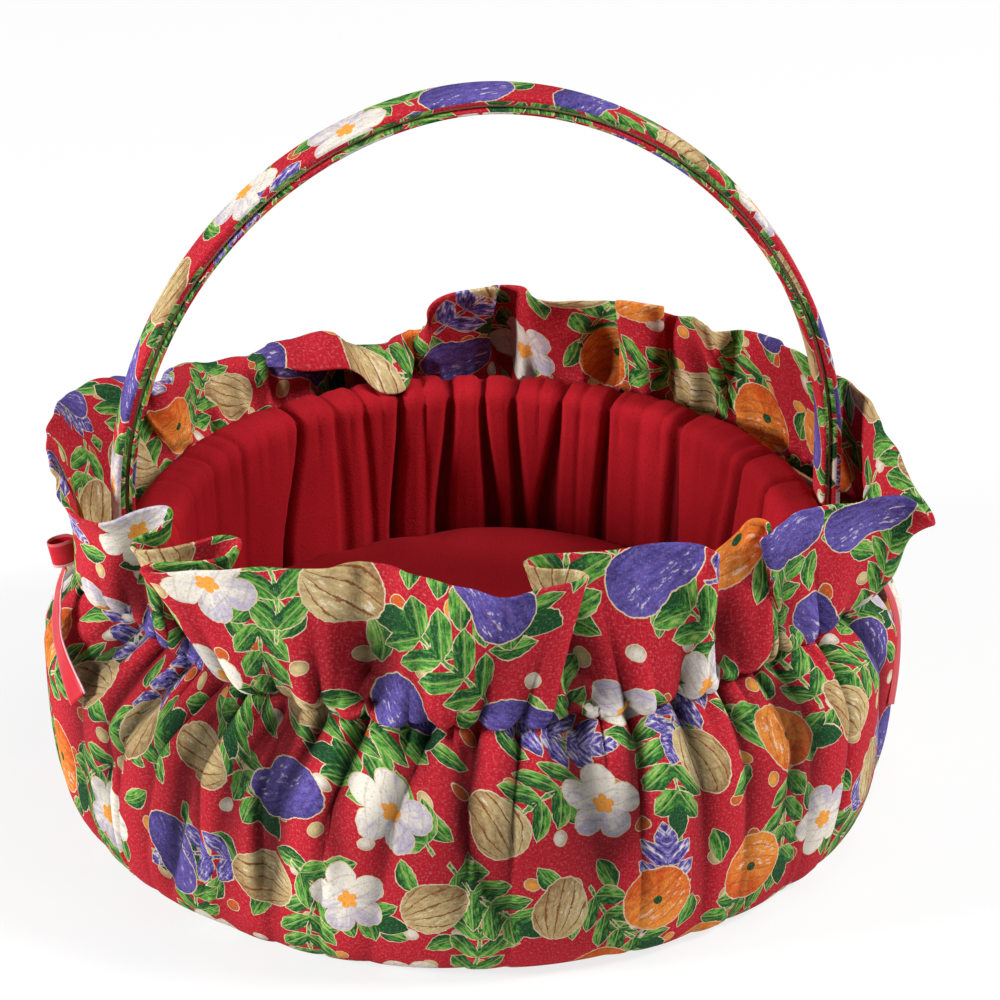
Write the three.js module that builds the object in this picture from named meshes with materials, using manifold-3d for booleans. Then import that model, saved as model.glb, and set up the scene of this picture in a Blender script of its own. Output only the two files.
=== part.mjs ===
// A round fabric basket: a padded card tub with a gathered cover and lining, a ruffled rim,
// a lift-out floor pad and an arched handle. Millimetres, +Z up.
// The origin is the centre of the underside, and the handle's arch lies in the XZ plane.
import * as THREE from "three";
import { mergeVertices } from "three/addons/utils/BufferGeometryUtils.js";
import Module from "manifold-3d";

const wasm = await Module();
wasm.setup();

// Fits and cloth
const CLEAR = 0.3; // gap between pieces that touch
const CLOTH = 0.9; // cover and lining, with their turnings
const FRILL_CLOTH = 1.2; // the ruffle is a double layer

// Card tub
const SHELL_R = 84; // inside of the wall
const SHELL_T = 2;
const SHELL_H = 48.5;
const FLOOR_T = 2;
const CUSHION_H = 14; // filling under the floor

// Underside
const BASE_T = 2.2;
const BASE_DISC_R = 84;

// Outer cover
const HEM_R = 62; // open middle of the hem under the base
const BASE_R = 96; // flat underside
const BELLY_R = 108.4;
const BELLY_Z = 46;
const ROUNDING = 2.5; // from the underside to the belly: 2 is an ellipse, more is squarer
const SAG = -2.5; // the filling lies to one side of the rim
const COVER_FOLDS = 18;
const SHOULDER_FOLD = 1.9; // depth of the gathers just under the elastic
const GATHER_FOLD = 0.8; // and on it
const BELLY_FOLD = 0.8;

// Rim elastic
const ELASTIC_T = 1;
const ELASTIC_W = 5;
const LEG_EASE = 2; // beside each leg of the handle, where the elastic passes over it
const GATHER_DROP = 2.3; // gather line below the edge of the card wall

// Wadding and lining
const WADDING_T = 2.5;
const RIM_PAD = 3.7; // wadding on top of the card wall
const LINING_FOLDS = 19;
const LINING_FOLD = 1.6; // depth of the gathers
const RIM_FOLD = 0.3; // and on the rim
const LINING_HEM = 18; // turned in on the floor
const TURN_DOWN = 34; // turned over the rim, outside the wall

// Floor pad
const PAD_EASE = 1.3; // between the pad and the lining's folds
const PAD_BOARD_T = 1.6;
const PAD_SIDE = 10; // height of the filling at its edge
const PAD_CROWN = 4.5;
const PAD_TUCK = 1.5; // how far the sides draw in at the bottom
const PAD_WIDEST = 5; // height of the widest place
const PAD_DRAW = 0.6; // how far the sides draw in at the top
const PAD_SHOULDER = 4; // from there up to the crown's edge
const FILL_TUCK = 1; // the filling draws in over its board
const PAD_TURN_UNDER = 16;

// Handle
const HANDLE_W = 10.7;
const HANDLE_T = 5.4;
const CORE_W = 8;
const CORE_T = 2.6;
const SEAM = 2.3; // inner strip's thickness, up to the seam
const LEG_DEPTH = 36; // legs below the edge of the card wall
const ARCH_SPRING = 20.6; // start of the arch above the edge of the card wall
const ARCH_RISE = 103.5;
const ARCH_POWER = 1.92; // 2 is an ellipse

// Brads
const BRAD_HEAD_R = 2.5;
const BRAD_HEAD_T = 0.8;
const BRAD_SHANK_R = 1.1;
const BRAD_CLINCH_R = 2.2;
const BRAD_CLINCH_T = 0.6;
const BRAD_UPPER = 12; // below the edge of the card wall
const BRAD_LOWER = 26;

// Ribbon ties
const RIBBON_W = 6.4;
const RIBBON_T = 0.8;
const LOOP_LENGTH = 12;
const LOOP_BULGE = 5;
const LOOP_TILT = 20; // degrees above level
const LOOP_RISE = 1.2; // above the gather line
const LOOP_LEFT = 180; // degrees round the rim
const LOOP_RIGHT = -14;

// Ruffle: its top edge, anticlockwise from the left foot of the handle.
// Each row is a place on the edge: degrees round the rim, millimetres out from the gather line, and height above it.
const FRILL_EDGE = [
  [170, 19, 30], [-178, 17, 30], [-170, 18, 29.5], [-163, 14, 29.5], [-161, 4, 32.5], [-158, -1, 34.5],
  [-156, 5, 32.5], [-156, 13, 29.5], [-152, 11, 30.5], [-147, 4, 33.5], [-143, -1, 34.5], [-144, 8, 32.5],
  [-148, 18, 30.5], [-142, 14, 32], [-136.5, 9, 34], [-129, 2, 35.5], [-121, -4, 37.5], [-111, -4, 36.5],
  [-101, 4, 34.5], [-96, 5, 34.5], [-90, 4, 35], [-84, 1, 36], [-86, -3, 36.5], [-91, -5, 37],
  [-92, -8, 37.5], [-87, -10, 38], [-79, -8, 38.5], [-71, -5, 37.5], [-64, -1, 36.5], [-62.5, 5, 35],
  [-62, -2, 36], [-58, -5, 36.5], [-54, -2, 36.5], [-53, 5, 34.5], [-51, -1, 36.5], [-47, -3, 36.5],
  [-41.5, 2, 35.5], [-33, 9, 33], [-29, 18, 29.5], [-28, 28, 25], [-23, 22, 28], [-18, 17, 30],
  [-10, 12, 32.5], [0, 8, 34.5], [8, 5, 34.5], [18, 3, 33.5], [31, -1, 31.5], [36, 1, 31],
  [38, -6, 32.5], [41, -1, 31.5], [45, -2, 32], [48, -8, 33], [51, -1, 32], [59, -3, 30.5],
  [67, -1, 29.5], [70, -8, 29.5], [72, -1, 30.5], [80, -3, 30.5], [86, -1, 29.5], [89, -8, 28.5],
  [90.5, -1, 22], [92, 8, 12], [97, 18, 6], [105, 24, 4], [114, 26, 4], [122, 25, 7],
  [130, 19, 13], [138, 9, 21], [145, 3, 28], [151, 9, 31.5], [156, 15, 31.5], [162, 18, 31],
];
const FRILL_SPRING = 24; // height to which the ruffle stands before it leans

// Ribbon tails, from under the loop to the cut end: degrees round the rim, millimetres out from the axis, height.
const TAIL_LEFT = [
  [180, 103, 65.7], [180.1, 104.6, 64.6], [180.5, 106.2, 62.9], [181.2, 107.6, 60.9], [182.2, 108.7, 58.9],
  [183.5, 109.6, 57], [184.7, 110.5, 55.3], [186, 111.2, 53.8], [187.4, 111.7, 52.4], [188.8, 112, 51.1],
  [190.2, 112.2, 49.9], [191.6, 112.3, 48.7], [193, 112.4, 47.6], [194.4, 112.4, 46.5], [195.8, 112.4, 45.4],
];
const TAIL_RIGHT = [
  [-14, 99, 65.9], [-14, 100.7, 64.5], [-14.1, 102.5, 62.5], [-14.3, 104.2, 60.1], [-14.6, 105.7, 57.5],
  [-15, 106.9, 54.8], [-15.4, 107.8, 52.1], [-15.9, 108.4, 49.3], [-16.4, 108.7, 46.5], [-16.9, 108.8, 43.7],
  [-17.5, 108.8, 40.9], [-18.1, 108.7, 38.1], [-18.7, 108.5, 35.3], [-19.3, 108.2, 32.5], [-20, 107.9, 29.8],
];

// Segments
const RIM_TURNS = [0.9, 0.5, 0.1]; // places round the rim's roll, in half turns
const ROUND = 48;
const COVER_STEPS = 78;
const LINING_STEPS = 68;
const FRILL_STEPS = 150;
const ARCH_STEPS = 32;

// Places that follow from the sizes above
const hemZ = BASE_T + CLEAR + CLOTH / 2;
const floorZ = hemZ + CLOTH / 2 + CLEAR + CUSHION_H + CLEAR;
const wallZ = floorZ + FLOOR_T + CLEAR;
const rimZ = wallZ + SHELL_H;
const gatherZ = rimZ - GATHER_DROP;
const wallOut = SHELL_R + SHELL_T;
const waddingOut = SHELL_R - CLEAR - BRAD_CLINCH_T - CLEAR;
const waddingIn = waddingOut - WADDING_T;
const flapR = wallOut + CLEAR + CLOTH / 2 + RIM_FOLD;
const flapOut = flapR + CLOTH / 2 + RIM_FOLD;
const flapEnd = rimZ - TURN_DOWN;
const legIn = flapOut + CLEAR;
const legR = legIn + HANDLE_T / 2;
const legOut = legIn + HANDLE_T;
const legEnd = rimZ - LEG_DEPTH;
const gatherGrow = ELASTIC_T + CLEAR + CLOTH / 2 + GATHER_FOLD; // from the inside of the elastic to the cloth
const gatherR = flapOut + CLEAR + gatherGrow;
const liningIn = waddingIn - CLEAR - CLOTH - 2 * LINING_FOLD;
const padR = liningIn - PAD_EASE;
const hemTop = floorZ + FLOOR_T + CLEAR + CLOTH;
const padZ = hemTop + CLEAR;
const boardZ = padZ + CLOTH + CLEAR;
const fillZ = boardZ + PAD_BOARD_T + CLEAR;
const boardR = padR - PAD_TUCK - CLOTH - CLEAR;

// Geometry helpers

function solidOf(geometry) {
  const bare = geometry.clone();
  bare.deleteAttribute("normal");
  bare.deleteAttribute("uv");
  const merged = mergeVertices(bare, 1e-3);
  const triVerts = new Uint32Array(merged.index.array);
  const vertProperties = merged.attributes.position.array;
  return new wasm.Manifold(new wasm.Mesh({ numProp: 3, vertProperties, triVerts }));
}

function geometryOf(solid) {
  const mesh = solid.getMesh();
  const geometry = new THREE.BufferGeometry();
  geometry.setAttribute("position", new THREE.BufferAttribute(mesh.vertProperties, 3));
  geometry.setIndex(new THREE.BufferAttribute(mesh.triVerts, 1));
  geometry.computeVertexNormals();
  return geometry;
}

function cut(geometry, tools) {
  return geometryOf(tools.reduce((solid, tool) => solid.subtract(solidOf(tool)), solidOf(geometry)));
}

// A solid of revolution about Z from (radius, height) pairs, anticlockwise round the section.
function revolve(profile, steps = ROUND) {
  const points = profile.map(([r, z]) => new THREE.Vector2(r, z));
  const onAxis = profile[0][0] === 0;
  if (!onAxis) points.push(points[0].clone());
  return new THREE.LatheGeometry(points, steps).rotateX(Math.PI / 2);
}

function ringSection(inner, outer, low, high) {
  return [[inner, low], [outer, low], [outer, high], [inner, high]];
}

function disc(radius, low, high) {
  return revolve([[0, low], [radius, low], [radius, high], [0, high]]);
}

function polar(radius, angle, height) {
  return new THREE.Vector3(radius * Math.cos(angle), radius * Math.sin(angle), height);
}

// A closed band of cloth: grid[i][j] is station i round the ring and row j across it.
function clothBand(grid, thickness) {
  const around = grid.length;
  const rows = grid[0].length;
  const loops = grid.map((line, i) => {
    const next = grid[(i + 1) % around];
    const last = grid[(i + around - 1) % around];
    const normals = line.map((_, j) => {
      const along = next[j].clone().sub(last[j]);
      const up = line[Math.min(j + 1, rows - 1)].clone().sub(line[Math.max(j - 1, 0)]);
      return along.cross(up).normalize();
    });
    const face = line.map((p, j) => p.clone().addScaledVector(normals[j], thickness / 2));
    const back = line.map((p, j) => p.clone().addScaledVector(normals[j], -thickness / 2));
    return face.concat(back.reverse());
  });
  const across = 2 * rows;
  const index = [];
  for (let i = 0; i < around; i++) {
    for (let j = 0; j < across; j++) {
      const here = i * across;
      const there = ((i + 1) % around) * across;
      const k = (j + 1) % across;
      index.push(here + j, there + j, here + k, here + k, there + j, there + k);
    }
  }
  const geometry = new THREE.BufferGeometry();
  const flat = loops.flat().flatMap((p) => [p.x, p.y, p.z]);
  geometry.setAttribute("position", new THREE.Float32BufferAttribute(flat, 3));
  geometry.setIndex(index);
  geometry.computeVertexNormals();
  return geometry;
}

// Uneven gathers: a wave from -1 to 1 whose spacing drifts round the ring.
function gathers(count, angle) {
  return Math.cos(count * angle + 1.4 * Math.sin(3 * angle + 0.6) + 0.9 * Math.sin(5 * angle));
}

function sagAt(height) {
  return SAG * (1 - THREE.MathUtils.smoothstep(height, BELLY_Z, gatherZ));
}

// Radius of a band that is stretched round the rim and over the handle's legs.
function stretched(angle, grow) {
  const round = flapOut + CLEAR + grow;
  const face = legOut + CLEAR + grow;
  const half = HANDLE_W / 2 + LEG_EASE;
  const corner = Math.atan2(half, face);
  const leaves = corner + Math.acos(round / Math.hypot(face, half));
  const fromRight = Math.abs(Math.atan2(Math.sin(angle), Math.cos(angle)));
  const away = Math.min(fromRight, Math.PI - fromRight);
  if (away > leaves) return round;
  if (away > corner) return round / Math.cos(leaves - away);
  return face / Math.cos(away);
}

// Cover: mean radius, height and fold depth, from the hem to the gather line.
function coverRows(angle) {
  const rows = [[HEM_R, hemZ, 0], [BASE_R, hemZ, 0]];
  const drawnIn = BELLY_R - stretched(angle, gatherGrow);
  for (const share of [0.3, 0.55, 0.8, 1]) {
    const turn = (share * Math.PI) / 2;
    const radius = BASE_R + (BELLY_R - BASE_R) * Math.sin(turn) ** (2 / ROUNDING);
    const height = hemZ + (BELLY_Z - hemZ) * (1 - Math.max(Math.cos(turn), 0) ** (2 / ROUNDING));
    rows.push([radius, height, BELLY_FOLD * share * share]);
  }
  for (const share of [0.65, 1]) {
    const fold = share < 1 ? SHOULDER_FOLD : GATHER_FOLD;
    rows.push([BELLY_R - drawnIn * share * share, BELLY_Z + (gatherZ - BELLY_Z) * share, fold]);
  }
  return rows;
}

function outerCover() {
  const grid = Array.from({ length: COVER_STEPS }, (_, i) => {
    const angle = (2 * Math.PI * i) / COVER_STEPS;
    const fold = gathers(COVER_FOLDS, angle);
    return coverRows(angle).map(([radius, height, depth]) => {
      const point = polar(radius + depth * fold, angle, height);
      point.x += sagAt(height);
      return point;
    });
  });
  return clothBand(grid, CLOTH);
}

function rimElastic() {
  const grid = Array.from({ length: COVER_STEPS }, (_, i) => {
    const angle = (2 * Math.PI * i) / COVER_STEPS;
    const radius = stretched(angle, ELASTIC_T / 2);
    return [-0.5, 0.5].map((share) => polar(radius, angle, gatherZ + share * ELASTIC_W));
  });
  return clothBand(grid, ELASTIC_T);
}

// Filling: the cover's section drawn in by its folds, round the card tub, with a slot for each leg of the handle.
function stuffing() {
  const inset = CLOTH / 2 + CLEAR;
  const topZ = gatherZ - ELASTIC_W / 2 - CLEAR;
  const rows = coverRows(Math.PI / 2);
  const low = hemZ + inset;
  const profile = [[0, low], [BASE_R - inset, low]];
  for (const [radius, height, depth] of rows.slice(2, -1)) {
    const lift = height < BELLY_Z ? inset : 0;
    profile.push([radius - depth - inset - lift, height + lift]);
  }
  profile.push([gatherR - SHOULDER_FOLD - inset, topZ]);
  const wallSide = wallOut + CLEAR;
  const flapSide = flapOut + CLEAR;
  profile.push([flapSide, topZ], [flapSide, flapEnd - CLEAR], [wallSide, flapEnd - CLEAR]);
  profile.push([wallSide, floorZ - CLEAR], [0, floorZ - CLEAR]);
  const body = revolve(profile);
  const place = body.attributes.position;
  for (let i = 0; i < place.count; i++) {
    const outside = Math.hypot(place.getX(i), place.getY(i)) > flapSide + CLEAR;
    if (outside) place.setX(i, place.getX(i) + sagAt(place.getZ(i)));
  }
  const slotOut = legOut + CLEAR + BRAD_HEAD_T + CLEAR;
  const slotLength = slotOut - wallOut;
  const slotLow = legEnd - CLEAR;
  const slotHeight = gatherZ - slotLow;
  const slots = [-1, 1].map((side) => {
    const box = new THREE.BoxGeometry(slotLength, HANDLE_W + 2 * CLEAR, slotHeight);
    return box.translate(side * (slotOut - slotLength / 2), 0, slotLow + slotHeight / 2);
  });
  return cut(body, slots);
}

// Ruffle: each station stands up from the gather line, then bends to its place on the top edge.
function ruffle() {
  const marks = FRILL_EDGE.map(([degrees, out, up]) =>
    polar(gatherR + out, THREE.MathUtils.degToRad(degrees), gatherZ + up),
  );
  const edge = new THREE.CatmullRomCurve3(marks, true).getSpacedPoints(FRILL_STEPS).slice(0, FRILL_STEPS);
  const foot = gatherZ + CLEAR + CLOTH / 2;
  const reach = Math.round(FRILL_STEPS / 16);
  const grid = edge.map((top, i) => {
    const middle = new THREE.Vector2();
    for (let k = -reach; k <= reach; k++) {
      const near = edge[(i + k + FRILL_STEPS) % FRILL_STEPS];
      middle.add(new THREE.Vector2(near.x, near.y));
    }
    const start = polar(stretched(middle.angle(), gatherGrow), middle.angle(), foot);
    const stand = start.clone().lerp(top, 0.2).setZ(gatherZ + FRILL_SPRING);
    const rise = new THREE.QuadraticBezierCurve3(start, stand, top);
    return [0, 0.35, 0.7, 1].map((share) => rise.getPoint(share));
  });
  return clothBand(grid, FRILL_CLOTH);
}

function liningRows() {
  const inside = (height, depth) => [waddingIn - CLEAR - CLOTH / 2 - depth, height, depth];
  const layZ = hemTop - CLOTH / 2;
  const rimIn = waddingIn - CLEAR - CLOTH / 2 - RIM_FOLD;
  const middle = (rimIn + flapR) / 2;
  const half = (flapR - rimIn) / 2;
  const start = rimZ + CLEAR;
  const lift = RIM_PAD + CLEAR + CLOTH / 2 + RIM_FOLD;
  const corner = inside(layZ, LINING_FOLD);
  const rows = [[corner[0] - LINING_HEM, layZ, 0], [corner[0], layZ, 0]];
  rows.push(inside(layZ + SHELL_H * 0.3, LINING_FOLD), inside(layZ + SHELL_H * 0.8, LINING_FOLD));
  for (const turn of RIM_TURNS) {
    const angle = turn * Math.PI;
    rows.push([middle + half * Math.cos(angle), start + lift * Math.sin(angle), RIM_FOLD]);
  }
  rows.push([flapR, flapEnd, RIM_FOLD]);
  return rows;
}

function lining() {
  const rows = liningRows();
  const grid = Array.from({ length: LINING_STEPS }, (_, i) => {
    const angle = (2 * Math.PI * i) / LINING_STEPS;
    const fold = gathers(LINING_FOLDS, angle + 0.4);
    return rows.map(([radius, height, depth]) => polar(radius + depth * fold, angle, height)).reverse();
  });
  return cut(clothBand(grid, CLOTH), bradHoles());
}

function rimWadding() {
  const start = rimZ + CLEAR;
  const middle = (waddingIn + wallOut) / 2;
  const half = (wallOut - waddingIn) / 2;
  const profile = [[waddingIn, hemTop + CLEAR], [waddingOut, hemTop + CLEAR], [waddingOut, start]];
  profile.push([wallOut, start]);
  for (const turn of [...RIM_TURNS].reverse()) {
    const angle = turn * Math.PI;
    profile.push([middle + half * Math.cos(angle), start + RIM_PAD * Math.sin(angle)]);
  }
  return revolve(profile);
}

// Floor pad: crowned filling on a board, in a cover that turns under it.
function padSection(inset) {
  const radius = padR - inset;
  const side = fillZ + PAD_SIDE + CLEAR + CLOTH - inset;
  const crown = side + PAD_CROWN;
  const section = [[radius - PAD_TUCK, padZ + inset], [radius, padZ + PAD_WIDEST]];
  section.push([radius - PAD_DRAW, side - PAD_SHOULDER]);
  for (const share of [0.93, 0.8, 0.55, 0.28, 0]) {
    section.push([share * radius, side + (crown - side) * (1 - share * share)]);
  }
  return section;
}

function padCover() {
  const face = padSection(0);
  const back = padSection(CLOTH);
  const hem = padR - PAD_TURN_UNDER;
  return revolve([[0, back.at(-1)[1]], ...back.slice(0, -1).reverse(), [hem, padZ + CLOTH], [hem, padZ], ...face]);
}

function padFilling() {
  const top = padSection(CLOTH + CLEAR).slice(1);
  const edge = top[0][0];
  return revolve([[0, fillZ], [edge - FILL_TUCK, fillZ], ...top.slice(1)]);
}

// Handle: a line up one leg, over the arch and down the other, as points with outward normals.
function handleLine() {
  const spring = rimZ + ARCH_SPRING;
  const points = [new THREE.Vector2(legR, legEnd)];
  for (let k = 0; k <= ARCH_STEPS; k++) {
    const angle = (k * Math.PI) / ARCH_STEPS;
    const across = Math.sign(Math.cos(angle)) * Math.abs(Math.cos(angle)) ** (2 / ARCH_POWER);
    const up = Math.max(Math.sin(angle), 0) ** (2 / ARCH_POWER);
    points.push(new THREE.Vector2(legR * across, spring + (ARCH_RISE - HANDLE_T / 2) * up));
  }
  points.push(new THREE.Vector2(-legR, legEnd));
  return points.map((point, i) => {
    const ahead = points[Math.min(i + 1, points.length - 1)];
    const behind = points[Math.max(i - 1, 0)];
    const along = ahead.clone().sub(behind).normalize();
    return { point, normal: new THREE.Vector2(along.y, -along.x) };
  });
}

// A strip of the handle between two distances from its middle line.
function handleStrip(inner, outer, width, over = 0) {
  const line = handleLine();
  const ends = [line[0], line.at(-1)];
  ends.forEach((end) => end.point.setY(end.point.y - over));
  const place = (offset) => line.map(({ point, normal }) => point.clone().addScaledVector(normal, offset));
  const shape = new THREE.Shape(place(outer).concat(place(inner).reverse()));
  const strip = new THREE.ExtrudeGeometry(shape, { depth: width, bevelEnabled: false });
  return strip.rotateX(Math.PI / 2).translate(0, width / 2, 0);
}

function handleCore() {
  return cut(handleStrip(-CORE_T / 2, CORE_T / 2, CORE_W), bradHoles());
}

function handleSleeve(inner, outer) {
  const reach = CORE_T / 2 + CLEAR;
  const hollow = handleStrip(-reach, reach, CORE_W + 2 * CLEAR, 1);
  return cut(handleStrip(inner, outer, HANDLE_W), [hollow, ...bradHoles()]);
}

// Brads lie along X through the legs, the lining's turn-down and the wall.
function bradPlaces() {
  const heights = { upper: rimZ - BRAD_UPPER, lower: rimZ - BRAD_LOWER };
  const sides = { left: -1, right: 1 };
  return Object.entries(sides).flatMap(([sideName, side]) =>
    Object.entries(heights).map(([level, height]) => ({ name: `handle_brad_${sideName}_${level}`, side, height })),
  );
}

function bradHoles() {
  const length = 2 * HANDLE_T + legOut - SHELL_R;
  return bradPlaces().map(({ side, height }) => {
    const bore = new THREE.CylinderGeometry(BRAD_SHANK_R + CLEAR, BRAD_SHANK_R + CLEAR, length, 16);
    return bore.rotateZ(Math.PI / 2).translate(side * (SHELL_R + legOut) / 2, 0, height);
  });
}

function brad({ side, height }) {
  const tip = SHELL_R - CLEAR - BRAD_CLINCH_T;
  const clinch = SHELL_R - CLEAR;
  const seat = legOut + CLEAR;
  const top = seat + BRAD_HEAD_T;
  const profile = [
    [0, tip], [BRAD_CLINCH_R, tip], [BRAD_CLINCH_R, clinch], [BRAD_SHANK_R, clinch],
    [BRAD_SHANK_R, seat], [BRAD_HEAD_R, seat], [BRAD_HEAD_R * 0.7, top], [0, top],
  ];
  return revolve(profile, 12).rotateY((side * Math.PI) / 2).translate(0, 0, height);
}

// Ribbon loop: a fold of ribbon that stands out from the gather line.
function ribbonLoop(degrees) {
  const angle = THREE.MathUtils.degToRad(degrees);
  const outline = new THREE.Shape();
  outline.absellipse(LOOP_LENGTH / 2, 0, LOOP_LENGTH / 2, LOOP_BULGE / 2, 0, 2 * Math.PI);
  const hole = new THREE.Path();
  hole.absellipse(LOOP_LENGTH / 2, 0, LOOP_LENGTH / 2 - RIBBON_T, LOOP_BULGE / 2 - RIBBON_T, 0, 2 * Math.PI);
  outline.holes.push(hole);
  const loop = new THREE.ExtrudeGeometry(outline, { depth: RIBBON_W, bevelEnabled: false, curveSegments: 12 });
  loop.rotateX(Math.PI / 2).translate(0, RIBBON_W / 2, 0).rotateY(-THREE.MathUtils.degToRad(LOOP_TILT));
  const seat = stretched(angle, gatherGrow) + GATHER_FOLD + CLOTH / 2 + CLEAR;
  return loop.translate(seat, 0, gatherZ + LOOP_RISE).rotateZ(angle);
}

// Ribbon tail: a flat strip along its route, its width level and square to the way out from the axis.
function ribbonTail(route) {
  const marks = route.map(([degrees, out, up]) => polar(out, THREE.MathUtils.degToRad(degrees), up));
  const index = [];
  const flat = [];
  marks.forEach((point, i) => {
    const along = marks[Math.min(i + 1, marks.length - 1)].clone().sub(marks[Math.max(i - 1, 0)]).normalize();
    const out = new THREE.Vector3(point.x, point.y, 0).normalize();
    const side = along.clone().cross(out).normalize();
    const face = side.clone().cross(along);
    for (const [a, b] of [[-0.5, -0.5], [0.5, -0.5], [0.5, 0.5], [-0.5, 0.5]]) {
      const corner = point.clone().addScaledVector(side, a * RIBBON_W).addScaledVector(face, b * RIBBON_T);
      flat.push(corner.x, corner.y, corner.z);
    }
  });
  for (let i = 0; i + 1 < marks.length; i++) {
    for (let j = 0; j < 4; j++) {
      const [a, b] = [4 * i + j, 4 * i + ((j + 1) % 4)];
      index.push(a, a + 4, b, b, a + 4, b + 4);
    }
  }
  const end = 4 * (marks.length - 1);
  index.push(0, 1, 2, 0, 2, 3, end, end + 2, end + 1, end, end + 3, end + 2);
  const geometry = new THREE.BufferGeometry();
  geometry.setAttribute("position", new THREE.Float32BufferAttribute(flat, 3));
  geometry.setIndex(index);
  geometry.computeVertexNormals();
  return geometry;
}

// Materials
const finish = (color, roughness, metalness = 0) => new THREE.MeshStandardMaterial({ color, roughness, metalness });
const printedCotton = () => finish(0xb5283a, 0.9);
const redCotton = () => finish(0xa01c26, 0.92);
const satin = () => finish(0xcd283c, 0.45);
const fibre = () => finish(0xf0eee8, 1);
const card = () => finish(0xb89a72, 0.95);
const brass = () => finish(0xc2a050, 0.35, 1);

const basket = new THREE.Group();
basket.name = "fabric_basket";

function add(name, geometry, material) {
  const mesh = new THREE.Mesh(geometry, material);
  mesh.name = name;
  basket.add(mesh);
}

add("base_disc", disc(BASE_DISC_R, 0, BASE_T), redCotton());
add("outer_cover", outerCover(), printedCotton());
add("stuffing", stuffing(), fibre());
add("shell_floor", disc(wallOut, floorZ, floorZ + FLOOR_T), card());
add("shell_wall", cut(revolve(ringSection(SHELL_R, wallOut, wallZ, rimZ)), bradHoles()), card());
add("rim_wadding", rimWadding(), fibre());
add("lining", lining(), redCotton());
add("rim_elastic", rimElastic(), finish(0xf2efe6, 0.8));
add("ruffle", ruffle(), printedCotton());
add("pad_board", disc(boardR, boardZ, boardZ + PAD_BOARD_T), card());
add("pad_filling", padFilling(), fibre());
add("pad_cover", padCover(), redCotton());
add("handle_core", handleCore(), card());
add("handle_outer_cover", handleSleeve(SEAM - HANDLE_T / 2, HANDLE_T / 2), printedCotton());
add("handle_inner_cover", handleSleeve(-HANDLE_T / 2, SEAM - HANDLE_T / 2 - CLEAR), printedCotton());
for (const place of bradPlaces()) add(place.name, brad(place), brass());
add("ribbon_loop_left", ribbonLoop(LOOP_LEFT), satin());
add("ribbon_loop_right", ribbonLoop(LOOP_RIGHT), satin());
add("ribbon_tail_left", ribbonTail(TAIL_LEFT), satin());
add("ribbon_tail_right", ribbonTail(TAIL_RIGHT), satin());

export default basket;
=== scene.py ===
"""Looks of a round fabric basket: gathered cloth, ruffle, lining, floor pad, handle and ribbon ties."""
import math
import random

import bpy
import numpy as np
from bpy.props import FloatProperty, FloatVectorProperty, PointerProperty
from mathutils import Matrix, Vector


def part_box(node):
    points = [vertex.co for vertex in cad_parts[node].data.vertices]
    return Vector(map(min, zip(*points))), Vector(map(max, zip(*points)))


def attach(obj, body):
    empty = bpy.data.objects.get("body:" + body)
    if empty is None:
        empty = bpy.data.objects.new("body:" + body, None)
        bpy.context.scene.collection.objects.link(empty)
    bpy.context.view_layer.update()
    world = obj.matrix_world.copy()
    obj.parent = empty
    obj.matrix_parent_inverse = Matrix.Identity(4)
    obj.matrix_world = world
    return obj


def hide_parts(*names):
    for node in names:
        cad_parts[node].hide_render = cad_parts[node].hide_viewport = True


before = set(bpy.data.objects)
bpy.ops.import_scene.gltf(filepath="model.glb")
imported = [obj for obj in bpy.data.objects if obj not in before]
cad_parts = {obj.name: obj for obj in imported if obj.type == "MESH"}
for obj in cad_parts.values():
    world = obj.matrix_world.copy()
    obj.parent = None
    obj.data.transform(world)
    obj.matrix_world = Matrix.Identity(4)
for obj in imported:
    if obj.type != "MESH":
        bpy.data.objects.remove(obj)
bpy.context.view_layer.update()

bl_info = {
    "name": "Fabric basket",
    "version": (1, 0, 0),
    "blender": (4, 5, 0),
    "location": "3D View > Sidebar > Basket",
    "description": "Cloth, ribbon and padding of a round fabric basket with an arched handle",
    "category": "Add Mesh",
}

MM = 0.001
TURN = 2 * math.pi
CLOTH_MAP = "cloth"
# Attribute of painted shade in the cloth's folds: 1 where it lies open, 0 deep in a fold
FOLD_SHADE = "fold"
CONSTANT_SOCKETS = {
    "specular": "Specular IOR Level", "metallic": "Metallic", "sheen": "Sheen Weight",
    "brushed": "Anisotropic",
}
# Least length to divide by, and how near two points of a seam lie
TINY = 1e-9
SEAM_REACH = 1e-7
# Steps between two marks of a closed curve, and turns of the waves in a slow unevenness
CURVE_STEPS = 24
WANDER_TURNS = (2, 3, 5, 7, 11)

# Places of the CAD pieces
ELASTIC_LOW, ELASTIC_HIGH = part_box("rim_elastic")
COVER_LOW, COVER_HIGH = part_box("outer_cover")
LINING_LOW, LINING_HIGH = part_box("lining")
WADDING_LOW, WADDING_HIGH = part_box("rim_wadding")
WALL_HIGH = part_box("shell_wall")[1]
FLOOR_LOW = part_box("shell_floor")[0]
PAD_LOW, PAD_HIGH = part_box("pad_cover")
HANDLE_LOW, HANDLE_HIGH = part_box("handle_outer_cover")
HANDLE_INNER_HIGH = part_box("handle_inner_cover")[1]

# Gather line, over the elastic and the handle's legs
GATHER_Z = (ELASTIC_LOW.z + ELASTIC_HIGH.z) / 2
ELASTIC_TO_CLOTH = 1.5 * MM
BAND_R = ELASTIC_HIGH.y + ELASTIC_TO_CLOTH
BAND_FACE = ELASTIC_HIGH.x + ELASTIC_TO_CLOTH
BAND_HALF = HANDLE_HIGH.y + 2 * MM

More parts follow.
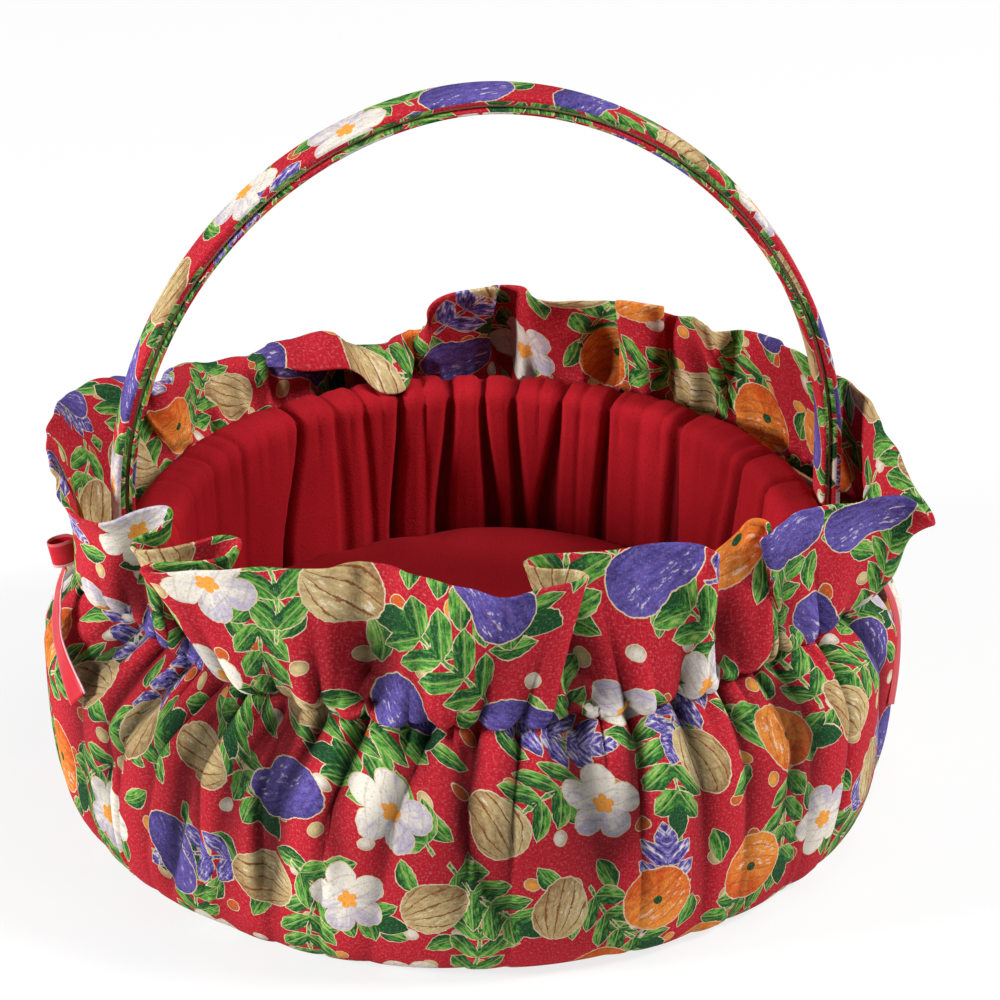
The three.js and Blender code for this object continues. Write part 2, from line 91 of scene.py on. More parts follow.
# Cover: its hem, foot and belly, the powers of its curves, and its rows
HEM_R = 62 * MM
BASE_R = 96.4 * MM
HEM_Z = COVER_LOW.z + 0.45 * MM
LOW_Z = 0.8 * MM
DISC_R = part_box("base_disc")[1].x
BELLY_Z = 46 * MM
BELLY_R = (COVER_HIGH.x - COVER_LOW.x) / 2 - 0.2 * MM
SAG = (COVER_HIGH.x + COVER_LOW.x) / 2
ROUNDING = 2.5
SHOULDER_POWER = 1.6
SHOULDER_SPACING = 0.8
UNDER_ROWS, SIDE_ROWS, SHOULDER_ROWS = 10, 15, 24
DISC_CLEARANCE = 4 * MM
LUMP_HEIGHT, LUMP_PITCH, LUMP_SEED = 0.9 * MM, 60 * MM, 4
# Distance from the gather line at which the print lies even, and depth at which the painted shade in a fold
# is darkest
PRINT_SETTLES = 30 * MM
COVER_DARK_DEPTH = 2.4 * MM
# Filling: how far it stays inside the cover and off the card, its small hole on the axis, and its inner ledge
FILL_STEPS, FILL_SIDE_ROWS, FILL_SHOULDER_ROWS = 96, 9, 7
FILL_INSET, FILL_SHOULDER_INSET = 6.5 * MM, 4 * MM
FILL_HOLE_R, FILL_LEDGE = 4 * MM, 4.5 * MM
FILL_GAP = 0.4 * MM

# Ruffle: its hem, anticlockwise from the left foot of the handle.
# Each row: degrees round the rim, millimetres out from the gather line, millimetres above it.
# Where the ruffle folds over, two more: millimetres out and up of the knee that pulls it over.
FRILL_EDGE = [
    (170, 19, 30), (-178, 17, 30), (-170, 18, 29.5), (-163.5, 15, 29.5), (-161, 6, 32), (-159.5, -1, 34.5),
    (-156.6, -1, 34.5), (-155, 4, 33), (-156.5, 11, 30.2), (-153.8, 14, 29.8), (-150.5, 10, 31),
    (-147.3, 4, 33.5), (-145, -2, 34.8), (-141.8, -3, 35), (-140.6, 2, 34), (-143.5, 9, 32.5), (-149, 16, 31),
    (-148.6, 19.5, 30.3), (-144.5, 16, 31.5), (-139.3, 12, 34.1), (-133.8, 8.5, 35.6), (-128.2, 4.5, 36.4),
    (-123.9, 1, 36.8), (-122, -2.5, 36.8), (-119.7, -4, 37), (-116.8, -4.5, 37.3), (-114.2, -3, 37.6),
    (-112.2, -0.5, 38), (-110.1, 1, 38), (-107.3, 2, 37.7), (-104.3, 3, 37), (-101.4, 4, 36.2),
    (-97.8, 5, 34.8), (-93.5, 4.5, 35.5), (-89.6, 4, 36.4), (-85.5, 3.5, 36.6), (-83.4, 0.5, 36.4),
    (-85, -3, 36.5), (-90, -5, 37), (-92.4, -7.5, 37.2), (-91.1, -10, 37.3), (-86.2, -9.5, 37.8),
    (-79.5, -7.5, 38), (-72.7, -6, 38), (-66.4, -3, 37.6), (-63.9, 0, 37.4), (-63.8, 3, 37.6),
    (-62.8, 4, 36.6), (-61.8, 2, 34.5), (-60.8, -1.5, 31.2), (-58, -3, 31.2), (-54.6, -3, 34.1),
    (-52.5, -3.4, 35.3), (-50.8, -3.6, 35.9), (-49, -2, 35.6), (-48.4, 0, 35), (-50, 2, 34.7), (-52.6, 3, 35),
    (-54.4, 3.6, 35.3), (-54.6, 5.6, 35.5), (-52.3, 6, 35.6), (-49.4, 5.6, 35.4), (-47, 4.5, 34.9),
    (-45, 2.6, 34.8), (-43, 2.4, 35.3), (-40.7, 4.5, 34.9), (-37.4, 7.5, 34), (-34.8, 11.5, 33),
    (-31.4, 16, 32.6), (-28.6, 19.5, 32, 10, 20), (-27.6, 23, 29.6, 12, 18.5), (-28.2, 26.4, 26.2, 13.5, 17),
    (-27, 27.4, 23.6, 14, 16.5), (-24.6, 25, 25, 12.5, 18), (-22, 20, 28, 10.5, 20), (-18, 17, 30),
    (-10, 12, 32.5), (0, 8, 34.5), (8, 4, 35), (14.8, 1, 35.4), (21.1, 1, 33.8), (28, 3, 31.4),
    (32.9, 4, 29.3), (36.4, 2, 27.4), (37.6, 0, 27.6), (36.8, -3, 30.1), (35.4, -6, 33.2), (37.7, -5.4, 33.2),
    (42.6, -1, 30), (46.8, 1, 28), (47.6, -1, 29.6), (46.4, -4, 33.4), (47.6, -6, 34.6), (51.5, -6.5, 33.6),
    (54.8, -5, 31.8), (56.4, 0, 29), (57.8, 5.5, 26.2), (59.6, 6, 25.6), (61.4, 3, 26.1), (64.3, 0, 27),
    (67.9, -3, 28), (70.7, -4, 29.2), (71.1, -4.2, 31.8), (72, -3, 32), (73.6, 0, 30.7), (75.3, 4, 28.6),
    (76.8, 5, 28), (77.8, 0, 30.1), (76.8, -5, 32), (77.6, -7, 32.7), (80, -6.4, 31.5), (84.5, -6, 31),
    (87.6, -8, 30.4), (89.2, -7, 27.6), (89.2, -3, 20.9), (88.6, 4, 14, 4, 22), (90.5, 2, 12.6, 8, 26),
    (92, -5, 10, 10, 27), (93.9, -11, 7, 10, 27), (97.6, -12.4, 6.5, 10, 27), (99.9, -11, 7.6, 10, 27),
    (101.2, -6, 9.6, 13, 29), (102.4, -3, 10.8, 17, 33), (105.4, -3, 11.8, 17, 34), (109.1, -3, 13.1, 17, 34),
    (112.7, -2, 14.4, 17, 34), (115, 2, 14, 16, 30), (115, 10, 11.2, 14, 24), (116, 18, 8.5),
    (118.8, 22, 7.2), (122.6, 22, 10.4), (126, 20, 13.2), (131.5, 14, 17), (137.7, 8, 19.2),
    (139.6, 8.4, 19.4), (138, 13, 18.6), (137, 18, 18.6), (139.4, 20.4, 20.2), (143, 18, 22.8),
    (144.6, 20.6, 23.2), (147.4, 22, 23.4), (151, 22, 24.2), (157, 20.6, 27.4), (163, 18.6, 30),
]
# Recesses down the ruffle: degrees at its foot, millimetres deep, millimetres to each side
FRILL_RECESSES = [
    (-116.5, 7, 7.5), (-107, -2, 3.5), (-151, 5, 5), (-163, 4, 5), (-98, 2, 7), (-82, 5, 5), (-60, 6, 4.5),
    (-53, -2.5, 3.5), (-44, 5, 4), (-27, -5, 7), (-14, 3, 7), (6, 4, 7), (36, 3, 3), (41, -3, 4), (51, 4, 4),
    (59, -4, 5), (66, 2, 6), (76, -4, 4), (83, 2, 6), (89, 4, 5), (112, 4, 8), (138, 5, 6), (160, 3, 7),
    (176, 3, 6),
]
# Its curve up from the line: the height of a plain knee, the bulge and droop at the foot, and its rows
FRILL_SPRING = 22 * MM
FRILL_BULGE = 12 * MM
FRILL_DROOP = 6.5 * MM
FRILL_CLEARANCE = 1 * MM
FRILL_COLUMNS, FRILL_ROWS = 880, 33
FRILL_SPACING = 1.25
FRILL_KNEE_SHARE, FRILL_SIDE_SHARE = 0.55, 0.55
FRILL_EDGE_SMOOTHING = 4
FRILL_FOOT_REACH = FRILL_COLUMNS // 16
# Depth at which the painted shade in the ruffle's folds is darkest
FRILL_DARK_DEPTH = 2.6 * MM
RIPPLE_HEIGHT, RIPPLE_PITCH, RIPPLE_TURNS, RIPPLE_SEED = 1.4 * MM, 40 * MM, 6, 9

# Gathers on both sides of the line: how far they reach down the cover and up the ruffle, how much of their
# depth lies behind the line, and the degrees between pleats at the back
COVER_PLEAT_REACH, FRILL_PLEAT_REACH, PUCKER_REACH = 58 * MM, 20 * MM, 14 * MM
PLEAT_SINK, PUCKER_SINK = 0.6, 0.5
PLEAT_GAPS = (7, 13)
PLEAT_SEED, PUCKER_SEED = 5, 8
# Each kind of gather: its shares of the full swell, its lean, the gap in radians that swells in full, and the
# power of its rounding
PLEATS = {"seed": 11, "swell": (0.6, 1.3), "lean": 0.16, "full_gap": 0.24, "power": 2.5}
PUCKERS = {"seed": 23, "swell": (0.7, 1.3), "lean": 0.03, "full_gap": 0.08, "power": 2.2}
RIM_PUCKERS = {"seed": 37, "swell": (0.4, 0.9), "lean": 0.03, "full_gap": 0.07, "power": 2.2}
GATHER_SKEW = 1.2
# Long pleats of the cover that show from the front: degrees round the gather line
FRONT_PLEATS = [
    -166, -158, -151, -143, -138, -131, -124, -117, -107, -100, -94, -86, -77, -69, -61, -52.5, -48, -38, -28,
    -15,
]

# Sharper creases in the cover: degrees at the gather line and at the lower end, millimetres from that line
# to where each starts and ends, and its depth and reach to the left and right in millimetres
COVER_CREASES = [
    (-152, -165, 8, 58, 1.6, 2, 4), (-139, -147, 5, 74, 2.6, 4.5, 1.5), (-128.6, -128.4, 3, 64, 2.8, 1.5, 5),
    (-118.4, -116.6, 3, 52, 1.9, 1.5, 5), (-102.5, -94, 3, 64, 2.2, 1.5, 4), (-86.8, -85, 1, 22, 1.6, 3, 1.6),
    (-77.5, -83, 4, 50, 1.6, 4, 5), (-50.5, -56, 6, 50, 2, 2, 3),
]
# Deepest that the cover sinks in a crease, at the gather line and at the belly
CREASE_FLOOR, CREASE_FLOOR_BELLY = 2.8 * MM, 4.7 * MM

# Lining: its inside, and the roll over the rim
LINING_COLUMNS = 900
HEM_ROWS, WALL_ROWS, ROLL_ROWS, FLAP_ROWS = 5, 26, 13, 5
LINING_FULLNESS = 1.25
LINING_INNER_R = 79.35 * MM
LINING_OUTER_R = ELASTIC_HIGH.y + 0.2 * MM
LINING_ROLL_Z = ELASTIC_HIGH.z + 0.4 * MM
LINING_HEM, LINING_FLAP = 20 * MM, 30 * MM
LINING_WAVE, LINING_WAVE_PITCH, LINING_WAVE_SEED = 0.5 * MM, 80 * MM, 6
RIM_PUCKER_GAP, RIM_PUCKER_SINK, RIM_PUCKER_REACH, RIM_SEED = 4, 0.4 * MM, 10 * MM, 8
LINING_FOLD_LOW, LINING_FOLD_TOP = 31 * MM, 72 * MM
# Its folds: degrees round the wall at the top and low down, millimetres to each side there, and how deep
LINING_FOLDS = [
    (168, 169, 0.4, 0.8, 0.7), (154, 153, 0.2, 0.3, 0.2), (143.7, 143.6, 0.2, 0.3, 0.25),
    (134, 133.8, 0.2, 0.3, 0.2), (117.9, 122, 0.1, 0.4, 1), (109.3, 107.9, 0.1, 0.4, 0.45),
    (103.1, 101.7, 0.1, 0.3, 0.35), (95.7, 97.4, 0.1, 0.4, 0.9), (90.6, 90.4, 0.3, 0.1, 0.25),
    (85.6, 87.4, 0.1, 1, 1), (79.1, 77, 0.1, 1.5, 1), (73.2, 71.8, 0.1, 0.9, 1), (64.1, 66.7, 0.1, 2.2, 1),
    (59.5, 60, 0.3, 0.1, 0.2), (54, 55.2, 0.2, 1.2, 1), (46, 46.6, 0.2, 0.3, 0.15), (37.7, 38.6, 0.1, 1.1, 1),
    (21.9, 27, 0.1, 0.2, 0.45), (18, 23, 0.5, 1.4, 0.9), (7, 14, 0.1, 0.3, 0.8),
]
# Folds of the front half, which the front wall hides: the end of each row, and degrees
LINING_PLAIN_SHAPE = (0.1, 0.9, 0.9)
LINING_PLAIN_FOLDS = [
    -8, -17, -29, -38, -50, -58, -71, -80, -93, -101, -113, -124, -132, -145, -153, -166, -183,
]
# Millimetres from the bottom of a fold to the open cloth beside it, least and most
LINING_FLANKS = (1.2, 3.2)
LINING_SEED = 31

# Wadding between the lining and the card wall
WADDING_INNER_R, WADDING_OUTER_R = 80.3 * MM, 82.8 * MM
WADDING_DOME = 0.5 * MM

# Floor pad: its drawn-in start, the cells and swelling of the cloth, and how it settles
PAD_SIDES = 96
PAD_START_INSET, PAD_START_LOSS, PAD_BEVEL, PAD_CELL = 2.2 * MM, 7 * MM, 4 * MM, 4 * MM
PAD_PRESSURE, PAD_FRAMES, PAD_CAP = 4.0, 20, 5 * MM
PAD_CROWN, PAD_LIFT, PAD_PULL, PAD_GATHERS = 1.2 * MM, 2.8 * MM, 0.2 * MM, 23
PAD_SIDE_SPREAD, PAD_FOOT_SPREAD = 5 * MM, 8 * MM

# Handle: where its arch springs, the powers of its curves, its thickness and the seam between its strips
ARCH_SPRING_Z = WALL_HIGH.z + 20.6 * MM
ARCH_POWER = 1.92
HANDLE_T = 5.4 * MM
HANDLE_SEAM = 0.35 * MM
STRIP_ROUNDING = 4.2
LEG_STEPS, ARCH_STEPS, STRIP_STEPS = 14, 150, 37
INNER_PRINT_START = 0.31

# Section of a ribbon, once round it: shares of its width and of its thickness
RIBBON_ACROSS = [-0.5, -0.48, -0.25, 0, 0.25, 0.48, 0.5]
RIBBON_SPREAD = np.array(RIBBON_ACROSS + RIBBON_ACROSS[-2::-1])
RIBBON_LIFT = np.repeat([0, 0.5, 0, -0.5, 0], [1, 5, 1, 5, 1])
# Ribbon loops: length, bulge, lean and turn, and where they start: inward and up from the solid's middle
LOOP_LENGTH, LOOP_BULGE, LOOP_LEAN = 8 * MM, 5.6 * MM, math.radians(12)
LOOP_TURN, LOOP_POINTS = math.pi * 0.96, 49
LOOP_INWARD, LOOP_RAISE = 1.8 * MM, 5.8 * MM
# Ribbon tails: degrees round the rim, metres out from the axis, height in metres
TAIL_LEFT = [
    (179, 0.1055, 0.069), (179.3, 0.1066, 0.0662), (179.8, 0.1075, 0.0634), (181.4, 0.1085, 0.061),
    (183.8, 0.1093, 0.0587), (186.8, 0.1103, 0.057), (190.4, 0.1112, 0.0556), (193.2, 0.1117, 0.054),
    (195.5, 0.1119, 0.052), (197, 0.1118, 0.0498),
]
TAIL_RIGHT = [
    (-14, 0.099, 0.0659), (-14, 0.1007, 0.0645), (-14.1, 0.1025, 0.0625), (-14.3, 0.1042, 0.0601),
    (-14.6, 0.1057, 0.0575), (-15, 0.1069, 0.0548), (-15.4, 0.1078, 0.0521), (-15.9, 0.1084, 0.0493),
    (-16.4, 0.1087, 0.0465), (-16.9, 0.1088, 0.0437), (-17.5, 0.1088, 0.0409), (-18.1, 0.1087, 0.0381),
    (-18.7, 0.1085, 0.0353), (-19.3, 0.1082, 0.0325), (-20, 0.1079, 0.0298),
]
TAIL_POINTS, TAIL_SMOOTHING = 57, 6
# Each side's tail, how far it turns from the radius and how far it is moved out
TAILS = {
    "left": (TAIL_LEFT, math.radians(38), 0.3 * MM),
    "right": (TAIL_RIGHT, math.radians(-10), -1.2 * MM),
}

# Lamps: place, size in metres, watts
LAMPS = {
    "left_light": ((-1.55, -0.25, 0.6), 0.35, 31),
    "right_light": ((1.4, -0.5, 1.4), 0.45, 34),
    "top_light": ((0.4, -0.1, 1.8), 0.7, 8),
}
WORLD_LIGHT, BACKDROP_GLOW = 0.1, 0.8
FLOOR_SIZE, FLOOR_DROP = 8, 0.2 * MM
CAMERA_SIGHT = 20


def paint(red, green, blue):
    """A colour as seen on screen, 0 to 255, as the linear colour that shaders use."""
    screen = [value / 255 for value in (red, green, blue)]
    return tuple(c / 12.92 if c <= 0.04045 else ((c + 0.055) / 1.055) ** 2.4 for c in screen)


def colour_property(name, description, *screen):
    return FloatVectorProperty(
        name=name, description=description, default=paint(*screen), size=3, min=0, max=1, subtype="COLOR",
    )


def length_property(name, description, default):
    return FloatProperty(
        name=name, description=description, default=default, min=0, precision=5, unit="LENGTH",
    )


class BasketCloth(bpy.types.PropertyGroup):
    """Cloth, ribbon and folds."""

    strip_length: length_property("Strip length", "Printed strip before it is gathered", 0.74)
    cloth_thickness: length_property("Cloth", "Thickness of the cover and the lining", 0.7 * MM)
    frill_thickness: length_property("Ruffle", "Thickness of the doubled ruffle", 1.1 * MM)
    thread_pitch: length_property("Thread pitch", "Distance between threads", 0.42 * MM)
    pleat_depth: length_property("Pleats", "Depth of the long pleats beside the gather line", 5.2 * MM)
    pucker_depth: length_property("Puckers", "Depth of the short puckers at the gather line", 2.2 * MM)
    pucker_gap: FloatProperty(name="Pucker gap", description="Degrees between puckers", default=4.6, min=1)
    lining_fold: length_property("Lining fold", "Depth of the lining's folds", 3.4 * MM)
    ribbon_width: length_property("Ribbon width", "Width of the satin ribbon", 6.4 * MM)
    ribbon_thickness: length_property("Ribbon", "Thickness of the satin ribbon", 0.4 * MM)


class BasketColours(bpy.types.PropertyGroup):
    """Colours of the print, the plain cloth and the ribbon."""

    ground: colour_property("Ground", "Ground of the print", 190, 30, 46)
    leaf_dark: colour_property("Leaf, dark", "Shaded strokes of the leaves", 22, 74, 36)
    leaf_light: colour_property("Leaf, light", "Light strokes of the leaves", 92, 164, 58)
    plum_dark: colour_property("Plum, dark", "Shaded side of the plums", 46, 36, 96)
    plum_light: colour_property("Plum, light", "Light side of the plums", 104, 90, 172)
    orange_dark: colour_property("Orange, dark", "Shaded side of the round fruit", 204, 82, 20)
    orange_light: colour_property("Orange, light", "Light side of the round fruit", 238, 158, 62)
    cream: colour_property("Cream", "Blossom and outlines", 228, 220, 206)
    line: colour_property("Line", "Thin outlines in the print", 214, 192, 158)
    tan_dark: colour_property("Tan, dark", "Shaded strokes of pears and seeds", 140, 104, 62)
    tan_light: colour_property("Tan, light", "Light strokes of pears and seeds", 216, 194, 140)
    lining: colour_property("Lining", "Plain cotton of the lining and the pad", 182, 27, 38)
    ribbon: colour_property("Ribbon", "Satin ribbon", 208, 24, 44)


class BasketStage(bpy.types.PropertyGroup):
    """Camera and backdrop."""

    azimuth: FloatProperty(name="Azimuth", description="Camera's place round the basket", default=-10.3)
    elevation: FloatProperty(name="Elevation", description="Camera's height above level", default=27.07)
    distance: length_property("Distance", "From the camera to its target", 1.5203)
    lens: FloatProperty(name="Lens", description="Focal length", default=215.2, subtype="DISTANCE_CAMERA")
    target: FloatVectorProperty(
        name="Target", description="Point that the camera looks at", default=(0.00528, -0.00096, 0.0792),
        size=3, subtype="XYZ", unit="LENGTH",
    )
    backdrop: colour_property("Backdrop", "Floor and backdrop", 246, 246, 246)


class Socket:
    """A shader output that adds Math nodes where it is used in an expression."""

    def __init__(self, shader, output):
        self.shader = shader
        self.output = output

    def part(self, name):
        return Socket(self.shader, self.output.node.outputs[name])

    def __rsub__(self, other):
        return self.shader.math("SUBTRACT", other, self)


SOCKET_MATH = {
    "__add__": "ADD", "__radd__": "ADD", "__sub__": "SUBTRACT", "__mul__": "MULTIPLY", "__rmul__": "MULTIPLY",
    "__truediv__": "DIVIDE", "__pow__": "POWER", "__abs__": "ABSOLUTE", "__lt__": "LESS_THAN",
    "__gt__": "GREATER_THAN", "floor": "FLOOR", "sin": "SINE", "cos": "COSINE", "least": "MINIMUM",
    "most": "MAXIMUM",
}


def socket_method(operation):
    return lambda self, *others: self.shader.math(operation, self, *others)


for method_name, math_operation in SOCKET_MATH.items():
    setattr(Socket, method_name, socket_method(math_operation))


class Shader:
    """A material whose nodes are added by expressions."""

    def __init__(self, name):
        self.material = bpy.data.materials.new(name)
        self.material.use_nodes = True
        self.tree = self.material.node_tree
        self.tree.nodes.clear()

    def add(self, kind, settings=None, inputs=None, out=0):
        node = self.tree.nodes.new("ShaderNode" + kind)
        for key, value in (settings or {}).items():
            if key == "stops":
                self.set_stops(node.color_ramp, value)
            elif key == "interpolation":
                node.color_ramp.interpolation = value
            else:
                setattr(node, key, value)
        for key, value in (inputs or {}).items():
            if isinstance(value, Socket):
                self.tree.links.new(value.output, node.inputs[key])
            else:
                node.inputs[key].default_value = value
        return Socket(self, node.outputs[out])

    @staticmethod
    def set_stops(ramp, stops):
        while len(ramp.elements) < len(stops):
            ramp.elements.new(1.0)
        for element, (place, colour) in zip(ramp.elements, stops):
            element.position = place
            element.color = (*colour, 1) if len(colour) == 3 else colour

    def math(self, operation, *values):
        return self.add("Math", {"operation": operation}, dict(enumerate(values)))

    def vector(self, x, y, z=0.0):
        return self.add("CombineXYZ", None, {0: x, 1: y, 2: z})

    def split(self, vector):
        parts = self.add("SeparateXYZ", None, {0: vector})
        return parts, parts.part("Y"), parts.part("Z")

    def blend(self, share, first, second, mode="MIX"):
        def full(colour):
            return colour if isinstance(colour, Socket) else (*colour[:3], 1)

        settings = {"data_type": "RGBA", "blend_type": mode}
        return self.add("Mix", settings, {0: share, 6: full(first), 7: full(second)}, 2)

    def noise(self, vector, scale, detail=2.0, roughness=0.5):
        inputs = {"Vector": vector, "Scale": scale, "Detail": detail, "Roughness": roughness}
        return self.add("TexNoise", {"noise_dimensions": "3D"}, inputs)

    def ramp(self, value, stops, interpolation="LINEAR"):
        return self.add("ValToRGB", {"stops": stops, "interpolation": interpolation}, {0: value})

    def choose(self, luck, choices):
        """One of the colours, in equal shares of luck from 0 to 1."""
        stops = [(i / len(choices), colour) for i, colour in enumerate(choices)]
        return self.ramp(luck, stops, "CONSTANT")

    def cloth(self):
        """Flat coordinates on the cloth, in millimetres."""
        flat = self.add("UVMap", {"uv_map": CLOTH_MAP})
        u, v, _ = self.split(flat)
        return u * 1000, v * 1000

    def painted_shade_share(self, darkest):
        """Painted shade for the cloth's folds: 1 where the cloth lies open, falling to the darkest share deep
        in its folds.
        """
        return self.add("Attribute", {"attribute_name": FOLD_SHADE}, None, "Fac") * (1 - darkest) + darkest

    def shaded(self, colour, share):
        """The colour, times a share."""
        grey = self.add("CombineColor", None, {0: share, 1: share, 2: share})
        return self.blend(1.0, colour, grey, "MULTIPLY")

    def place(self):
        """Object coordinates, in millimetres."""
        spot = self.add("TexCoord", None, None, "Object")
        return [axis * 1000 for axis in self.split(spot)]

    def finish(self, colour, roughness, height=None, bump=0.3, depth=0.2 * MM, **constants):
        inputs = {"Base Color": colour, "Roughness": roughness}
        inputs.update({CONSTANT_SOCKETS[key]: value for key, value in constants.items()})
        if not isinstance(colour, Socket):
            inputs["Base Color"] = (*colour[:3], 1)
        if height is not None:
            inputs["Normal"] = self.add("Bump", None, {"Height": height, "Strength": bump, "Distance": depth})
        surface = self.add("BsdfPrincipled", None, inputs)
        self.add_output(surface)
        return self.material

    def add_output(self, surface):
        output = self.tree.nodes.new("ShaderNodeOutputMaterial")
        self.tree.links.new(surface.output, output.inputs["Surface"])


def scatter(sh, cloth, pitch, seed, stray, shift=0.0):
    """Staggered places, pitch apart: coordinates about the nearest one, turned at random, and its luck."""
    u, v = cloth
    down = v / pitch + shift
    row = down.floor()
    across = u / pitch + (row * 0.5 + shift)
    column = across.floor()
    space = {"noise_dimensions": "3D"}
    chance = sh.add("TexWhiteNoise", space, {"Vector": sh.vector(column, row, seed)}, "Color")
    first, second, third = sh.split(chance)
    x = (across - column - 0.5 + (first - 0.5) * stray) * pitch
    y = (down - row - 0.5 + (second - 0.5) * stray) * pitch
    settings = {"rotation_type": "Z_AXIS"}
    turned = sh.add("VectorRotate", settings, {"Vector": sh.vector(x, y), "Angle": third * TURN})
    x, y, _ = sh.split(turned)
    luck = sh.add("TexWhiteNoise", space, {"Vector": sh.vector(row, column, seed + 0.5)})
    return x, y, luck


def leaf(x, y, length, width):
    """Distance outside a pointed leaf that lies along x from the origin."""
    share = x / length
    return abs(y) - share * (1 - share) * (4 * width)


def lay(sh, under, outside, colour, line_colour, line):
    """A painted shape with a line round it, over what lies under."""
    lined = sh.blend(outside < line, under, line_colour)
    return sh.blend(outside < 0, lined, colour)


def strokes(sh, along, across, luck, fine):
    """Brush strokes that run along a shape, from 0 to 1."""
    return sh.noise(sh.vector(along * 0.35, across * fine, luck * 60), 1.0, 3.0, 0.65)


def between(first, second, share=0.5):
    """A colour that lies between two others."""
    return [a + (b - a) * share for a, b in zip(first, second)]


def dimmed(colour, share):
    """The colour at a share of its brightness."""
    return [value * share for value in colour]


def leaf_paint(sh, colours, along, across, luck, half):
    """Green strokes on a leaf: one side of it in shade, and a pale vein."""
    stroke = strokes(sh, along, across, luck, 1.5) + across * (0.16 / half)
    stops = [
        (0.38, colours.leaf_dark), (0.49, between(colours.leaf_dark, colours.leaf_light, 0.4)),
        (0.6, colours.leaf_light), (0.74, between(colours.leaf_light, colours.tan_light, 0.45)),
    ]
    green = sh.ramp(stroke, stops)
    return sh.blend((abs(across) < 0.17) * 0.6, green, between(colours.leaf_light, colours.tan_light))


def sprig(sh, colours, under, cloth, wobble, pitch, seed, shift, flowering):
    """A bent stem with pairs of leaflets and one leaf at its tip; some are in flower."""
    spacing, tilt, first_pair, last_pair = 6.6, math.radians(47), -2, 1
    leaflet_length, leaflet_width, stem_width, stem_half = 11.6, 2.7, 0.35, 13
    x, y, luck = scatter(sh, cloth, pitch, seed, 0.12, shift)
    y = y - x * x * 0.011 + 1.2
    side = abs(y)
    number = ((x - side / math.tan(tilt)) / spacing + 0.5).floor().most(first_pair).least(last_pair)
    along = x - number * spacing
    lx = along * math.cos(tilt) + side * math.sin(tilt)
    ly = side * math.cos(tilt) - along * math.sin(tilt)
    leaflet = leaf(lx, ly, leaflet_length - abs(number + 0.6) * 1.3, leaflet_width)
    tip = leaf(x - 8.0, y, 11.0, 3.2)
    stem = (side - stem_width).most(abs(x + 3.5) - stem_half)
    outside = leaflet.least(tip).least(stem) + wobble
    colour = leaf_paint(sh, colours, lx, ly, luck, leaflet_width)
    bloom = sh.ramp(strokes(sh, lx, ly, luck, 1.2), [
        (0.36, colours.plum_dark), (0.52, colours.plum_light), (0.68, colours.cream),
    ])
    colour = sh.blend(luck < flowering, colour, bloom)
    return lay(sh, under, outside, colour, colours.line, 0.28)


def single_leaves(sh, colours, under, cloth, wobble, pitch, seed):
    """Small loose leaves that fill the ground."""
    x, y, luck = scatter(sh, cloth, pitch, seed, 0.3)
    y = y - x * x * 0.03
    length, width = 10.4, 2.6
    outside = leaf(x + length / 2, y, length, width) + wobble
    return lay(sh, under, outside, leaf_paint(sh, colours, x, y, luck, width), colours.line, 0.26)


def berries(sh, colours, under, cloth, wobble, pitch, seed):
    """Scattered berries, in some of their places only."""
    x, y, luck = scatter(sh, cloth, pitch, seed, 0.4)
    radius = sh.math("SQRT", x * x + y * y * 1.6)
    outside = radius - 2.1 + wobble * 0.6 + (luck > 0.7) * 20
    skins = [colours.orange_light, colours.tan_light, colours.orange_dark, colours.cream]
    colour = sh.choose(luck * 1.4, skins)
    shade = sh.blend((radius - y * 0.6) * 0.22, colour, colours.tan_dark)
    return lay(sh, under, outside, shade, colours.line, 0.26)


